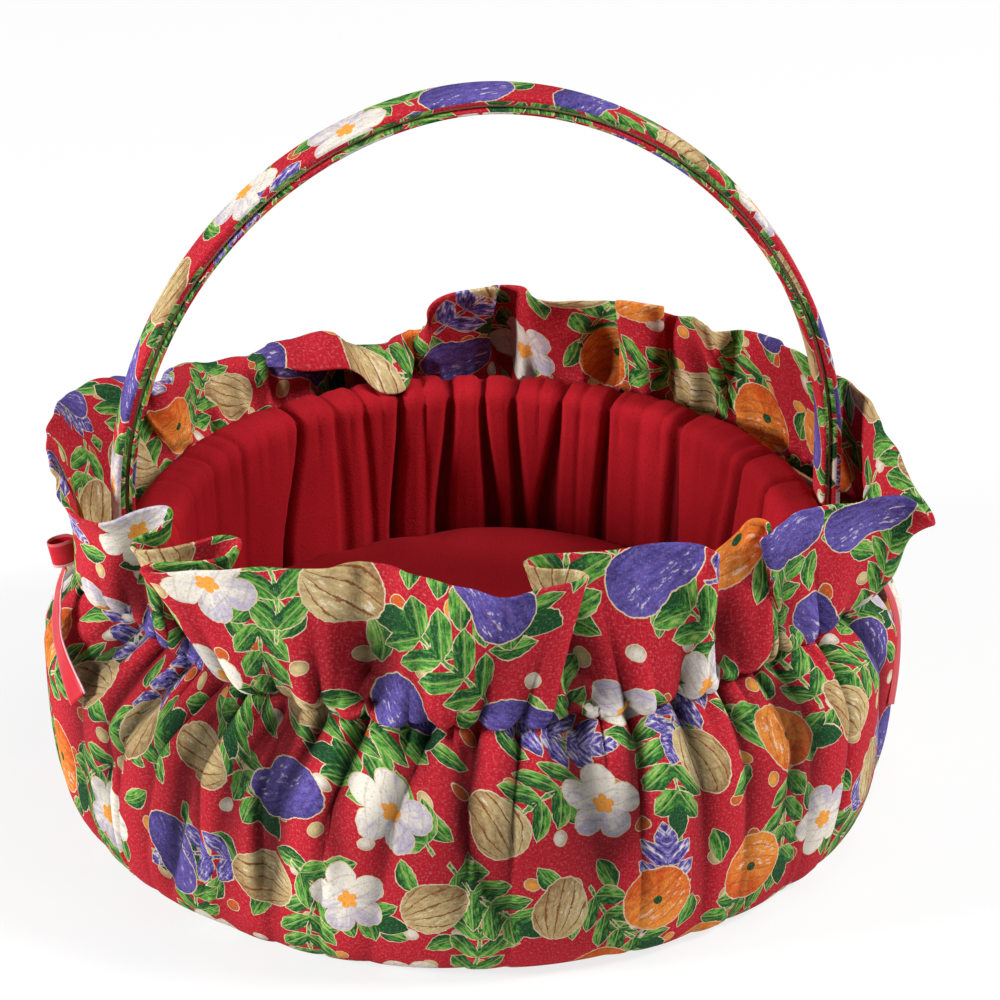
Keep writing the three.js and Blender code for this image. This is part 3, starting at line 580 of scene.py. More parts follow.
def fruit(sh, colours, under, cloth, wobble, pitch, seed):
    """Plums, round oranges, blossoms and pears, one at each place."""
    x, y, luck = scatter(sh, cloth, pitch, seed, 0.2, 0.27)
    radius = sh.math("SQRT", x * x + y * y)
    angle = sh.math("ARCTAN2", y, x)
    # Outline of each kind: round, egg-shaped, long and petalled shares of one length, in millimetres
    reach = 20
    kinds = [(0.44, 0.03, 0.15, 0.0), (0.47, 0, 0.0, 0.015), (0.3, 0, 0, 0.22), (0.39, 0.15, 0.07, 0)]
    forms = sh.choose(luck, kinds)
    round_share, egg_share, long_share = sh.split(forms)
    petals = abs((angle * 2.5).cos()) ** 0.6
    outline = round_share + egg_share * angle.cos() + long_share * (angle * 2).cos()
    outline = (outline + forms.part("Alpha") * petals) * reach
    outside = radius - outline + wobble
    depth = radius / outline
    # Share of meridian lines, of strokes along the fruit and of the heart, for each kind
    manner = sh.choose(luck, [(0.15, 1.0, 0.0), (0.45, 0.35, 0.13), (0.2, 0.3, 0.26), (0.9, 0.6, 0.0)])
    line_share, along_share, heart_share = sh.split(manner)
    run = strokes(sh, x, y, luck, 1.1)
    spokes = strokes(sh, depth * 3, angle * 3.2, luck, 1.0)
    stroke = spokes + (run - spokes) * along_share
    shade = stroke * 2.3 - 0.72 + (angle - 1.1).cos() * depth * 0.34 - depth ** 4 * 0.18
    share = sh.add("Clamp", None, {0: shade})
    dark = sh.choose(luck, [colours.plum_dark, colours.orange_dark, colours.plum_light, colours.tan_dark])
    light = sh.choose(luck, [colours.plum_light, colours.orange_light, colours.cream, colours.tan_light])
    warm = sh.choose(luck, [(0.22, 0, 0), (0, 0, 0), (0.5, 0, 0), (0.1, 0, 0)])
    share = (share + sh.split(warm)[0]).least(1)
    skin = sh.blend(share, dark, light)
    gleam = (run > 0.6) * (abs(depth - 0.55) < 0.3) * (y > 0)
    skin = sh.blend(gleam * 0.55, skin, colours.cream)
    meridians = (abs((y / (1.15 - x * x * 0.006) + run * 1.5).sin()) < 0.2) * (depth < 0.95) * (depth > 0.12)
    line_colour = between(between(colours.tan_dark, colours.orange_dark, 0.4), (0, 0, 0), 0.45)
    skin = sh.blend(meridians * line_share, skin, line_colour)
    hearts = [colours.plum_dark, colours.leaf_dark, colours.orange_light, colours.tan_dark]
    heart_colour = sh.choose(luck, hearts)
    skin = sh.blend(depth < heart_share, skin, heart_colour)
    return lay(sh, under, outside, skin, colours.line, 0.34)


def weave(sh, cloth, pitch):
    """Height of two sets of uneven threads that cross, about 0.5."""
    u, v = cloth
    fine = MM / pitch
    warp = sh.noise(sh.vector(u * fine, v * fine * 0.45), 1.0, 1.0)
    weft = sh.noise(sh.vector(u * fine * 0.45 + 31.0, v * fine), 1.0, 1.0)
    return (warp + weft - 1.0) * 1.1 + 0.5


# From the ground up: motif, millimetres between its places and seed, then a sprig's shift and share in flower
PRINT_LAYERS = (
    (berries, 13.0, 3.0), (single_leaves, 17.0, 11.0), (sprig, 41.0, 5.0, 0.0, 0.0),
    (sprig, 44.0, 8.0, 0.6, 0.45), (fruit, 29.0, 2.0),
)


def printed_cotton(settings, colours):
    """The print, layer over layer, on a plain weave: its raised threads worn paler with a painted highlight,
    painted shade between them, and painted shade in the folds.
    """
    sh = Shader("basket_print")
    cloth = sh.cloth()
    wobble = (sh.noise(sh.vector(*cloth), 0.55, 2.0) - 0.5) * 1.1
    tone = sh.noise(sh.vector(*cloth), 0.05, 3.0)
    deep = dimmed(colours.ground, 0.8)
    colour = sh.blend(tone, deep, colours.ground)
    for motif, *layout in PRINT_LAYERS:
        colour = motif(sh, colours, colour, cloth, wobble, *layout)
    height = weave(sh, cloth, settings.thread_pitch)
    # Raised threads: paler where the print is worn, with a painted highlight on their tops
    worn_highlight = [min(1.0, value * 0.35 + 0.3) for value in colours.cream]
    colour = sh.blend((height - 0.54).most(0) * 0.4, colour, worn_highlight)
    # Painted shade between the threads: near black where they dip
    colour = sh.blend((0.48 - height).most(0) * 0.75, colour, (0.02, 0.004, 0.006))
    # Painted shade in the cloth's folds
    colour = sh.shaded(colour, sh.painted_shade_share(0.26))
    return sh.finish(colour, 0.86, height, 0.4, 0.16 * MM, specular=0.12)


def red_cotton(settings, colours, name, flat):
    """Plain cotton with painted shade between its threads: on the cloth's own coordinates with painted shade
    in its folds, or on the piece's plan where it has none, darker all over as painted shade.
    """
    sh = Shader(name)
    cloth = sh.cloth() if flat else sh.place()[:2]
    height = weave(sh, cloth, settings.thread_pitch)
    tone = sh.noise(sh.vector(*cloth), 0.06, 4.0, 0.6)
    # For the pad and the base, which have no cloth coordinates, the cotton is darker all over as painted
    # shade
    plain = colours.lining if flat else dimmed(colours.lining, 0.72)
    deep = dimmed(plain, 0.72)
    colour = sh.blend(tone, deep, plain)
    # Painted shade between the threads
    colour = sh.blend((0.5 - height).most(0) * 1.2, colour, dimmed(colours.lining, 0.35))
    if flat:
        # Painted shade in the lining's folds
        colour = sh.shaded(colour, sh.painted_shade_share(0.42))
    return sh.finish(colour, 0.9, height, 0.5, 0.16 * MM, specular=0.1)


def satin_ribbon(settings, colours):
    """Fine ribs across the ribbon, with a woven edge on both sides and a painted highlight along one of them.
    """
    sh = Shader("basket_satin")
    u, v = sh.cloth()
    half = settings.ribbon_width / MM / 2
    ribs = (u * 9).sin() * 0.5 + 0.5
    edge = abs(v) > half - 0.5
    lit_edge = v < 0.55 - half
    tone = sh.noise(sh.vector(u * 0.6, v * 2.0), 0.4, 2.0)
    deep = dimmed(colours.ribbon, 0.62)
    pale = [min(1.0, value * 0.7 + 0.3) for value in colours.ribbon]
    colour = sh.blend(tone, deep, colours.ribbon)
    colour = sh.blend(edge * 0.3, colour, pale)
    # Painted highlight along one edge
    colour = sh.blend(lit_edge * 0.8, colour, (0.75, 0.5, 0.53))
    height = ribs * 0.4 + edge * (v * 12).sin() * 0.6
    return sh.finish(colour, 0.42, height, 0.25, 0.1 * MM, specular=0.2, brushed=0.4)


def fibre_fill():
    """White strands in soft clumps."""
    sh = Shader("basket_fibre")
    spot = sh.vector(*sh.place())
    strands = sh.noise(spot, 1.6, 6.0, 0.7)
    clumps = sh.noise(spot, 0.12, 3.0)
    colour = sh.blend(clumps, paint(226, 222, 214), paint(248, 246, 241))
    return sh.finish(colour, 0.95, strands, 0.6, 0.5 * MM, sheen=0.3)


def card():
    """Blotched card with darker fibres."""
    sh = Shader("basket_card")
    spot = sh.vector(*sh.place())
    fibres = sh.noise(spot, 1.1, 5.0, 0.7)
    blotch = sh.noise(spot, 0.07, 3.0)
    colour = sh.blend(blotch, paint(168, 142, 108), paint(196, 170, 132))
    colour = sh.blend((fibres > 0.62) * 0.4, colour, paint(132, 106, 78))
    return sh.finish(colour, 0.92, fibres, 0.35, 0.15 * MM)


def elastic():
    """Pale braid round the rim."""
    sh = Shader("basket_elastic")
    x, y, z = sh.place()
    angle = sh.math("ARCTAN2", y, x)
    braid = (angle * 190 + z * 2.4).sin() * (angle * 190 - z * 2.4).sin()
    tone = sh.noise(sh.vector(x, y, z), 0.2, 2.0)
    colour = sh.blend(tone, paint(226, 222, 210), paint(246, 244, 236))
    return sh.finish(colour, 0.8, braid, 0.5, 0.2 * MM)


def brass():
    """Scuffed polished brass."""
    sh = Shader("basket_brass")
    spot = sh.vector(*sh.place())
    scuffs = sh.noise(spot, 1.8, 4.0, 0.6)
    colour = sh.blend(scuffs, paint(178, 142, 66), paint(214, 180, 96))
    return sh.finish(colour, scuffs * 0.3 + 0.2, scuffs, 0.1, 0.05 * MM, metallic=1.0)


def band_radius(angle):
    """Radius of the gather line: round the rim, and stretched over the handle's legs."""
    corner = math.atan2(BAND_HALF, BAND_FACE)
    leaves = corner + math.acos(BAND_R / math.hypot(BAND_FACE, BAND_HALF))
    right = np.abs(np.arctan2(np.sin(angle), np.cos(angle)))
    away = np.minimum(right, math.pi - right)
    sloping = BAND_R / np.cos(np.minimum(np.abs(leaves - away), 1.0))
    facing = BAND_FACE / np.cos(np.minimum(away, 1.0))
    return np.where(away > leaves, BAND_R, np.where(away > corner, sloping, facing))


def polar(radius, angle, height):
    """Points from arrays of radius, angle and height."""
    return np.stack(np.broadcast_arrays(radius * np.cos(angle), radius * np.sin(angle), height), -1)


def outline_rows(radius, height):
    """Points of an outline, from arrays or single values of radius and height."""
    return np.stack(np.broadcast_arrays(radius, height), -1)


def unit(vectors):
    return vectors / np.maximum(np.linalg.norm(vectors, axis=-1, keepdims=True), TINY)


def smoothstep(value, low, high):
    share = np.clip((value - low) / (high - low), 0, 1)
    return share * share * (3 - 2 * share)


def eased(first, last, value, low, high):
    """From the first to the last as the value goes from low to high."""
    return first + (last - first) * smoothstep(value, low, high)


def hump(value, reach):
    """1 in the middle, and about a third at the reach on either side."""
    return np.exp(-((value / reach) ** 2))


def rounded_off(value, power):
    """A sine or cosine, for a superellipse of that power in place of a circle."""
    return np.sign(value) * np.abs(value) ** (2 / power)


def turn_between(angle, place):
    """The angle as seen from the place, within half a turn of it."""
    return (angle - place + math.pi) % TURN - math.pi


def face_normals(surface):
    """Normals of a closed band of points: column first, row second."""
    along = np.roll(surface, -1, 0) - np.roll(surface, 1, 0)
    return unit(np.cross(along, np.gradient(surface, axis=1)))


def walked_rows(band):
    """Mean distance along the rows of a band of points."""
    steps = np.linalg.norm(np.diff(band, axis=1), axis=-1).mean(0)
    return np.concatenate([[0], np.cumsum(steps)])


def walked(line):
    """Distance along a line to each of its points."""
    return walked_rows(line[None])


def points_along(line, marks, places):
    """Points of a line at the places, where its own points lie at the marks."""
    return np.stack([np.interp(places, marks, line[:, axis]) for axis in range(3)], -1)


def closed_curve(marks, count):
    """Even points on a smooth closed curve through the marks."""
    before, after, later = (np.roll(marks, k, 0) for k in (1, -1, -2))
    gaps = np.sqrt(np.linalg.norm(after - marks, axis=1, keepdims=True))
    gap_before, gap_after = np.roll(gaps, 1, 0), np.roll(gaps, -1, 0)

    def slope(a, b, c, first, second):
        return ((b - a) / first - (c - a) / (first + second) + (c - b) / second) * gaps

    leaving = slope(before, marks, after, gap_before, gaps)
    arriving = slope(marks, after, later, gaps, gap_after)
    share = np.linspace(0, 1, CURVE_STEPS, endpoint=False)[None, :, None]
    a, b, c, d = (part[:, None] for part in (marks, leaving, after, arriving))
    bend = a + b * share + (3 * (c - a) - 2 * b - d) * share**2 + (2 * (a - c) + b + d) * share**3
    line = bend.reshape(-1, 3)
    line = np.vstack([line, line[:1]])
    passed = walked(line)
    return points_along(line, passed, np.linspace(0, passed[-1], count, endpoint=False))


class Gathers:
    """Valleys in gathered cloth, and how far the cloth swells between each one and the next."""

    def __init__(self, places, seed, swell, lean, full_gap, power):
        draw = random.Random(seed)
        self.angle = np.sort(np.radians(places) % TURN)
        self.count = len(self.angle)
        self.power = power
        gaps = np.diff(np.append(self.angle, self.angle[0] + TURN))
        self.lean = np.array([draw.uniform(-lean, lean) for _ in gaps])
        self.skew = np.array([2 ** draw.uniform(-GATHER_SKEW, GATHER_SKEW) for _ in gaps])
        self.swell = np.array([draw.uniform(*swell) for _ in gaps]) * MM * np.minimum(1, gaps / full_gap)

    def swell_at(self, angle, away, radius):
        """Swell at each column's angle and each row's distance from the gather line."""
        rows = []
        for distance in away:
            valleys = self.angle + self.lean * distance / radius
            valleys = np.concatenate([valleys[-1:] - TURN, valleys, valleys[:1] + TURN])
            valleys = np.maximum.accumulate(valleys)
            place = np.interp(angle % TURN, valleys, np.arange(self.count + 2)) - 1 + self.count
            number = np.floor(place).astype(int) % self.count
            share = (place % 1) ** self.skew[number]
            rows.append(self.swell[number] * (1 - np.abs(2 * share - 1) ** self.power))
        return np.stack(rows, 1)


def valley_places(seed, marks, least, most):
    """The marked places and, over the rest of the turn, places between least and most degrees apart."""
    draw = random.Random(seed)
    places = sorted(marks)
    end = places[0] + 360 - least
    place = places[-1] + draw.uniform(least, most)
    while place < end:
        places.append(place)
        place += draw.uniform(least, most)
    return places


def split_places(seed, places, gap):
    """The places and others among them, so that none are much further apart than the gap."""
    draw = random.Random(seed)
    shared = []
    for first, second in zip(places, places[1:] + [places[0] + 360]):
        count = max(1, round((second - first) / gap))
        shared.append(first)
        for k in range(1, count):
            shared.append(first + (second - first) * (k + draw.uniform(-0.25, 0.25)) / count)
    return shared


def wander(angle, height, seed, pitch):
    """Slow unevenness from -1 to 1 round the basket and up it."""
    draw = random.Random(seed)
    total = 0
    for turns in WANDER_TURNS:
        rise = draw.uniform(-1, 1) * TURN / pitch
        total = total + np.sin(turns * angle + rise * height + draw.uniform(0, TURN)) / len(WANDER_TURNS)
    return total


def points_of(piece):
    """Places of the piece's vertices."""
    points = np.empty(len(piece.data.vertices) * 3)
    piece.data.vertices.foreach_get("co", points)
    return points.reshape(-1, 3)


def move_points(piece, places):
    """Put the piece's vertices at the places."""
    piece.data.vertices.foreach_set("co", places.ravel())


def edit_all(*steps):
    """Run edit-mode operators, each with its options, on the whole of the active piece."""
    bpy.ops.object.mode_set(mode="EDIT")
    bpy.ops.mesh.select_all(action="SELECT")
    for operator, options in steps:
        operator(**options)
    bpy.ops.object.mode_set(mode="OBJECT")


def close_ends():
    """Fill the open ends of the active piece and turn its faces outwards."""
    edit_all(
        (bpy.ops.mesh.fill_holes, {"sides": 0}),
        (bpy.ops.mesh.normals_make_consistent, {"inside": False}),
    )


def modify(piece, kind, **settings):
    """Add a modifier with its settings, and apply it."""
    modifier = piece.modifiers.new(kind.lower(), kind)
    for key, value in settings.items():
        setattr(modifier, key, value)
    bpy.ops.object.modifier_apply(modifier=modifier.name)


def dress(piece, material):
    """Give the piece one material in place of any other."""
    piece.data.materials.clear()
    piece.data.materials.append(material)


def sew(name, places, along, across, material, painted_shade_share=None):
    """A flat grid of the cloth, moved to its places and sewn together where its edges meet.

    places[i, j] is column i along the cloth and row j across it; along and across are flat coordinates.
    The last argument is 1 where the cloth lies open and 0 deep in a fold; it is kept as an attribute that the
    finishes darken by, as painted shade."""
    columns, rows = places.shape[0] - 1, places.shape[1] - 1
    along = np.broadcast_to(along if np.ndim(along) == 2 else along[:, None], places.shape[:2])
    bpy.ops.object.select_all(action="DESELECT")
    bpy.ops.mesh.primitive_grid_add(x_subdivisions=columns, y_subdivisions=rows, size=1.0)
    cloth = bpy.context.object
    cloth.name = cloth.data.name = name
    mesh = cloth.data
    flat = points_of(cloth) + 0.5
    column = np.rint(flat[:, 0] * columns).astype(int)
    row = np.rint(flat[:, 1] * rows).astype(int)
    move_points(cloth, places[column, row])
    corners = np.empty(len(mesh.loops), int)
    mesh.loops.foreach_get("vertex_index", corners)
    mesh.uv_layers.active.name = CLOTH_MAP
    folds = mesh.attributes.new(FOLD_SHADE, "FLOAT", "POINT")
    shares = np.ones(places.shape[:2]) if painted_shade_share is None else painted_shade_share
    folds.data.foreach_set("value", shares[column, row].astype(np.float32))
    flat_places = np.stack([along[column, row], across[row]], -1)
    mesh.uv_layers.active.uv.foreach_set("vector", flat_places[corners].ravel())
    edit_all((bpy.ops.mesh.remove_doubles, {"threshold": SEAM_REACH}))
    bpy.ops.object.shade_smooth()
    cloth.data.materials.append(bpy.data.materials[material])
    return cloth


def two_faces(middle, half, turn_rows=3):
    """Rows of a closed loop: the front face of a cloth, its rounded top edge and its back face."""
    normal = face_normals(middle)
    up = unit(np.gradient(middle, axis=1))
    front = middle + half * normal
    back = middle - half * normal
    rows = [front[:, j] for j in range(middle.shape[1])]
    for k in range(1, turn_rows + 1):
        turn = math.pi * k / (turn_rows + 1)
        rows.append(middle[:, -1] + half * (math.cos(turn) * normal[:, -1] + math.sin(turn) * up[:, -1]))
    rows.extend(back[:, j] for j in reversed(range(middle.shape[1])))
    rows.append(rows[0])
    loop = np.stack(rows, 1)
    return np.concatenate([loop, loop[:1]])


def loop_rows(front, back, turn_rows=3):
    """Values of each row of a cloth's faces, for the rows and columns of the closed loop round it."""
    cap = np.repeat(front[:, -1:], turn_rows, 1)
    loop = np.concatenate([front, cap, back[:, ::-1], front[:, :1]], 1)
    return np.concatenate([loop, loop[:1]])


def ride(piece, body, slot, *nodes):
    """Fix a piece to its body and hide the nodes that it stands for; the slot is not used."""
    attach(piece, body)
    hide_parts(*nodes)


def gather_swell(settings, angle, away, reach):
    """How far the cloth stands out beside the gather line: long pleats, and puckers close to the line."""
    pleat_places = valley_places(PLEAT_SEED, FRONT_PLEATS, *PLEAT_GAPS)
    pucker_places = split_places(PUCKER_SEED, pleat_places, settings.pucker_gap)
    pleats = Gathers(pleat_places, **PLEATS).swell_at(angle, away, BAND_R) * settings.pleat_depth / MM
    puckers = Gathers(pucker_places, **PUCKERS).swell_at(angle, away, BAND_R) * settings.pucker_depth / MM
    pleats = (pleats - PLEAT_SINK * settings.pleat_depth) * hump(away, reach)
    puckers = (puckers - PUCKER_SINK * settings.pucker_depth) * hump(away, PUCKER_REACH)
    return (pleats + puckers) * eased(0.3, 1, away, 0, 4 * MM)


def clear_of_band(places, least):
    """The places, moved out where they lie nearer to the axis than the least radius."""
    radius = np.hypot(places[..., 0], places[..., 1])
    return places * np.stack([np.maximum(least / radius, 1)] * 2 + [np.ones(radius.shape)], -1)


def frill_columns():
    """Hem of the ruffle, the angle on the gather line from which each of its points rises, and its knees."""
    plain_knee = FRILL_SPRING / MM
    rows = [row if len(row) == 5 else (*row, FRILL_KNEE_SHARE * row[1], plain_knee) for row in FRILL_EDGE]
    rows = np.array(rows, float)
    marks = polar(BAND_R + rows[:, 1] * MM, np.radians(rows[:, 0]), GATHER_Z + rows[:, 2] * MM)
    edge = closed_curve(marks, FRILL_COLUMNS)
    passed = [np.linalg.norm(edge - mark, axis=1).argmin() for mark in marks]
    columns = np.arange(FRILL_COLUMNS)
    knee = [np.interp(columns, passed, rows[:, k] * MM, period=FRILL_COLUMNS) for k in (3, 4)]
    for _ in range(FRILL_EDGE_SMOOTHING):
        edge = (np.roll(edge, 1, 0) + 2 * edge + np.roll(edge, -1, 0)) / 4
    middle = sum(np.roll(edge[:, :2], k, 0) for k in range(-FRILL_FOOT_REACH, FRILL_FOOT_REACH + 1))
    foot = np.unwrap(np.arctan2(middle[:, 1], middle[:, 0]))
    return edge, foot, np.stack(knee, -1)


def rounded_side(steps, low):
    """Radius and height of the body's side, from its foot at the low height up to the belly."""
    turn = np.linspace(0, math.pi / 2, steps)
    radius = BASE_R + (BELLY_R - BASE_R) * rounded_off(np.sin(turn), ROUNDING)
    return radius, low + (BELLY_Z - low) * (1 - rounded_off(np.cos(turn), ROUNDING))


class BASKET_OT_cover(bpy.types.Operator):
    """Gather the printed cover round the filling"""

    bl_idname = "basket.cover"
    bl_label = "Printed cover"

    def execute(self, context):
        settings = context.scene.basket_cloth
        foot = frill_columns()[1]
        band = band_radius(foot)
        radius, height = self.outline(band)
        middle = polar(radius, foot[:, None], height[None])
        middle[..., 0] += SAG * (1 - smoothstep(height, BELLY_Z, GATHER_Z))
        away = walked(outline_rows(radius.mean(0), height))
        away = away[-1] - away
        swell = gather_swell(settings, foot, away, COVER_PLEAT_REACH)
        deepest = eased(CREASE_FLOOR, CREASE_FLOOR_BELLY, away, 10 * MM, 36 * MM)
        swell = np.minimum(swell, np.maximum(swell - self.creases(foot, away), -deepest))
        lumps = LUMP_HEIGHT * wander(foot[:, None], height[None], LUMP_SEED, LUMP_PITCH)
        lumps = lumps * smoothstep(height, HEM_Z, BELLY_Z)
        middle = middle + face_normals(middle) * (swell + lumps)[..., None]
        beside = middle[..., 2] > ELASTIC_LOW.z - 1.5 * MM
        middle = clear_of_band(middle, np.where(beside, band[:, None] - 0.7 * MM, 0))
        loop = two_faces(middle, settings.cloth_thickness / 2, 1)
        gathered = np.linspace(0, settings.strip_length, len(loop))
        turned = (np.append(foot, foot[0] + TURN) - foot[0]) / TURN * settings.strip_length
        settled = smoothstep(np.concatenate([away, away[-1:], away[::-1], away[:1]]), 0, PRINT_SETTLES)
        along = gathered[:, None] + (turned - gathered)[:, None] * settled
        across = walked_rows(loop) - away[0]
        # Painted shade: darker in the valleys of the pleats and creases, and darkest beside the gather line
        # under the ruffle
        folds = np.clip(1 + swell / COVER_DARK_DEPTH, 0, 1) * eased(0.2, 1, away, 0, 6 * MM)
        folds = loop_rows(folds, folds, 1)
        cover = sew("cover_cloth", loop, along, across, "basket_print", folds)
        ride(cover, "basket", "printed_cotton", "outer_cover")
        return {"FINISHED"}

    def outline(self, band):
        """Radius of each column and row, and height of each row, from the hem up to the gather line."""
        under_r = np.linspace(HEM_R, BASE_R, UNDER_ROWS)[:-1]
        under_z = eased(HEM_Z, LOW_Z, under_r, DISC_R + DISC_CLEARANCE, BASE_R - 2 * MM)
        side_r, side_z = rounded_side(SIDE_ROWS, LOW_Z)
        rise = np.linspace(0, 1, SHOULDER_ROWS)[1:] ** SHOULDER_SPACING
        low_r = np.concatenate([under_r, side_r])
        shoulder = BELLY_R - (BELLY_R - band[:, None]) * rise**SHOULDER_POWER
        radius = np.concatenate([np.repeat(low_r[None], len(band), 0), shoulder], 1)
        return radius, np.concatenate([under_z, side_z, BELLY_Z + (GATHER_Z - BELLY_Z) * rise])

    def creases(self, foot, away):
        """Depth of the creases that run down the cover."""
        total = 0
        below = away / MM
        for top, low, start, end, depth, left, right in COVER_CREASES:
            share = np.clip((below - start) / (end - start), 0, 1)
            place = np.radians(top + (low - top) * share**2)
            aside = turn_between(foot[:, None], place) * BELLY_R / MM
            width = np.where(aside < 0, left, right)
            fade = smoothstep(below, start, start + 6) * (1 - smoothstep(below, 0.7 * end, end))
            total = total + depth * MM * hump(aside, width) * fade
        return total


class BASKET_OT_ruffle(bpy.types.Operator):
    """Stand the ruffle up from the gather line"""

    bl_idname = "basket.ruffle"
    bl_label = "Ruffle"

    def execute(self, context):
        settings = context.scene.basket_cloth
        edge, foot, knee = frill_columns()
        band = band_radius(foot)
        middle = self.standing(edge, foot, knee, band)
        away = walked_rows(middle)
        swell = gather_swell(settings, foot, away, FRILL_PLEAT_REACH)
        ripple = RIPPLE_HEIGHT * wander(foot[:, None] * RIPPLE_TURNS, away[None], RIPPLE_SEED, RIPPLE_PITCH)
        ripple = ripple * smoothstep(away, 4 * MM, 34 * MM)
        recess = self.recesses(foot, away)
        middle = self.clear_of_rim(middle + face_normals(middle) * (ripple + swell - recess)[..., None])
        beside = middle[..., 2] < ELASTIC_HIGH.z + 0.5 * MM
        middle = clear_of_band(middle, np.where(beside, band[:, None] - 0.5 * MM, 0))
        loop = two_faces(middle, settings.frill_thickness / 2)
        along = np.linspace(0, settings.strip_length, len(loop))
        # Painted shade on both faces of the ruffle: darker in its folds and recesses, and towards its foot at
        # the gather line
        foot_share = eased(0.3, 1, away, 0, 5 * MM)
        outside = np.clip(1 + (swell - 0.4 * recess) / FRILL_DARK_DEPTH, 0, 1) * foot_share
        inside = np.clip(1 + 0.45 * recess / FRILL_DARK_DEPTH, 0, 1) * foot_share
        folds = loop_rows(outside, inside)
        ruffle = sew("ruffle_cloth", loop, along, walked_rows(loop), "basket_print", folds)
        ride(ruffle, "basket", "printed_cotton", "ruffle")
        return {"FINISHED"}

    def standing(self, edge, foot, knee, band):
        """The ruffle without its small folds: a curve from the gather line, past each knee, to the hem."""
        start = polar(band, foot, GATHER_Z)
        out = polar(1, foot, 0)
        first = start + out * FRILL_BULGE - np.array([0, 0, FRILL_DROOP])
        sideways = edge - start
        sideways = sideways - out * np.sum(sideways * out, -1, keepdims=True)
        second = start + FRILL_SIDE_SHARE * sideways + out * (knee[:, :1] + BAND_R - band[:, None])
        second[:, 2] = GATHER_Z + knee[:, 1]
        share = np.linspace(0, 1, FRILL_ROWS)[None, :, None] ** FRILL_SPACING
        rest = 1 - share
        a, b, c, d = (part[:, None] for part in (start, first, second, edge))
        return a * rest**3 + 3 * b * share * rest**2 + 3 * c * share**2 * rest + d * share**3

    def clear_of_rim(self, places):
        """The places, moved out of the rolled lining wherever they lie in it."""
        radius = np.hypot(places[..., 0], places[..., 1])
        middle_r, middle_z = (LINING_INNER_R + LINING_OUTER_R) / 2, LINING_ROLL_Z
        reach_r = LINING_OUTER_R - middle_r + FRILL_CLEARANCE
        reach_z = LINING_HIGH.z - middle_z + FRILL_CLEARANCE
        out, up = (radius - middle_r) / reach_r, (places[..., 2] - middle_z) / reach_z
        share = np.maximum(1 / np.maximum(np.hypot(out, up), 0.3), 1)
        above = up > 0
        new_r = np.where(above, out * share, np.where(out > 0, np.maximum(out, 1), out)) * reach_r + middle_r
        new_z = np.where(above, up * share, up) * reach_z + middle_z
        return np.concatenate([places[..., :2] * (new_r / radius)[..., None], new_z[..., None]], -1)

    def recesses(self, foot, away):
        """Depth of the recesses, most at half height."""
        total = 0
        for degrees, depth, width in FRILL_RECESSES:
            aside = turn_between(foot, math.radians(degrees)) * BAND_R
            total = total + depth * MM * hump(aside, width * MM)
        return total[:, None] * smoothstep(away, 2 * MM, 11 * MM) * eased(1, 0.15, away, 18 * MM, 33 * MM)


